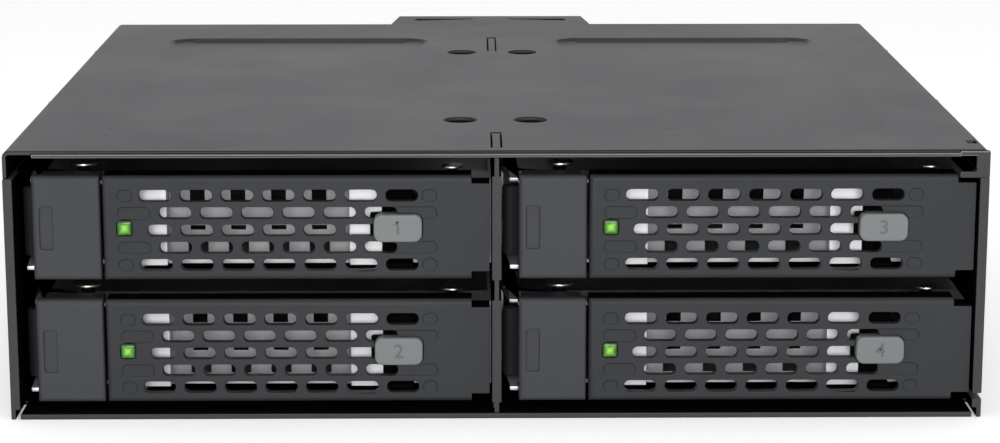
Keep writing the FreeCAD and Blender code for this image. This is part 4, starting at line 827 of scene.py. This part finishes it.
first_lens = lens()
for bay in BAYS:
    piece = first_lens if bay == 1 else copy_to_bay(first_lens, bay, f"dressed_led_lens_{bay}")
    stand_for(piece, f"led_lens_{bay}", green_lens)
print("lens faces:", len(first_lens.data.polygons))

# %% [markdown]
# ## Floor, light and camera
# The cage stands on a plain pale floor in soft studio light. A large soft box hangs above and a little
# in front, and a second one fills the front. The background is white by the floor's and the world's
# own colour for rays that come straight from the camera, not by more light on the object.

# %% Floor
WHITE = (1, 1, 1, 1)
FLOOR_GREY = 0.87          # the floor's own colour
FLOOR_LIFT = 0.31          # what the floor adds for rays that come straight from the camera


def floor_finish():
    """A pale matt floor that the camera sees nearly white, and that still keeps its shadow."""
    finish = bpy.data.materials.new("studio_floor")
    finish.use_nodes = True
    tree = finish.node_tree
    shader = tree.nodes["Principled BSDF"]
    shader.inputs["Base Color"].default_value = (FLOOR_GREY, FLOOR_GREY, FLOOR_GREY, 1)
    shader.inputs["Roughness"].default_value = 0.9
    shader.inputs["Specular IOR Level"].default_value = 0.0
    shader.inputs["Emission Color"].default_value = WHITE
    rays = add(tree, "ShaderNodeLightPath", (-700, -200))
    share = add(tree, "ShaderNodeMath", (-400, -200), operation="MULTIPLY")
    share.inputs[1].default_value = FLOOR_LIFT
    tree.links.new(rays.outputs["Is Camera Ray"], share.inputs[0])
    tree.links.new(share.outputs["Value"], shader.inputs["Emission Strength"])
    return finish


bpy.ops.object.select_all(action="DESELECT")
bpy.ops.mesh.primitive_plane_add(size=12, location=(0, 0, 0))
floor = bpy.context.object
floor.name = "studio_floor"
floor.data.materials.append(floor_finish())
print("floor:", floor.name)

# %% World
AROUND, SEEN = 0.42, 1.0   # how strongly the world lights the object, and how strongly it is seen
world = bpy.data.worlds.new("studio")
bpy.context.scene.world = world
world.use_nodes = True
sky = world.node_tree
backdrop = sky.nodes["Background"]
backdrop.inputs["Color"].default_value = WHITE
rays = add(sky, "ShaderNodeLightPath", (-900, 200))
seen = add(sky, "ShaderNodeMath", (-700, 200), operation="MAXIMUM")
clear = add(sky, "ShaderNodeMath", (-500, 200), operation="MAXIMUM")
level = add(sky, "ShaderNodeMapRange", (-300, 200))
level.inputs["To Min"].default_value = AROUND
level.inputs["To Max"].default_value = SEEN
sky.links.new(rays.outputs["Is Camera Ray"], seen.inputs[0])
sky.links.new(rays.outputs["Is Glossy Ray"], seen.inputs[1])
sky.links.new(seen.outputs["Value"], clear.inputs[0])
sky.links.new(rays.outputs["Is Transmission Ray"], clear.inputs[1])
sky.links.new(clear.outputs["Value"], level.inputs["Value"])
sky.links.new(level.outputs["Result"], backdrop.inputs["Strength"])
print("world:", world.name, "lights with", AROUND)

# %% Lamps
def soft_box(name, place, aim, wide, deep, watts):
    """An area lamp that looks at a point; sizes in metres."""
    lamp = bpy.data.lights.new(name, "AREA")
    lamp.shape = "RECTANGLE"
    lamp.size, lamp.size_y, lamp.energy = wide, deep, watts
    holder = bpy.data.objects.new(name, lamp)
    bpy.context.scene.collection.objects.link(holder)
    holder.location = place
    holder.rotation_euler = (Vector(aim) - Vector(place)).to_track_quat("-Z", "Y").to_euler()
    return holder


LAMP_WATTS = 6
lamps = [soft_box("overhead", (0.0, -0.10, 1.1), (0, 0, 0), 1.4, 1.0, LAMP_WATTS),
         soft_box("front_fill", (0.0, -1.0, 0.25), (0, 0, 0.02), 0.5, 0.3, LAMP_WATTS)]
print("lamps:", [lamp.name for lamp in lamps])

# %% Camera
LENS, SENSOR = 96.583, 36.0                # mm
EYE = (-3.60 * MM, -461.02 * MM, 114.70 * MM)
DOWN, ASIDE = 12.246, 0.6                  # degrees that the camera looks down and to the side
eye = bpy.data.cameras.new("eye")
eye.lens = LENS
eye.sensor_width = SENSOR
camera = bpy.data.objects.new("eye", eye)
bpy.context.scene.collection.objects.link(camera)
camera.location = EYE
camera.rotation_euler = (math.radians(90 - DOWN), 0, math.radians(-ASIDE))
bpy.context.scene.camera = camera
bpy.context.scene.view_settings.view_transform = "Standard"
print("camera at", [round(v / MM, 1) for v in EYE], "mm with a", LENS, "mm lens")
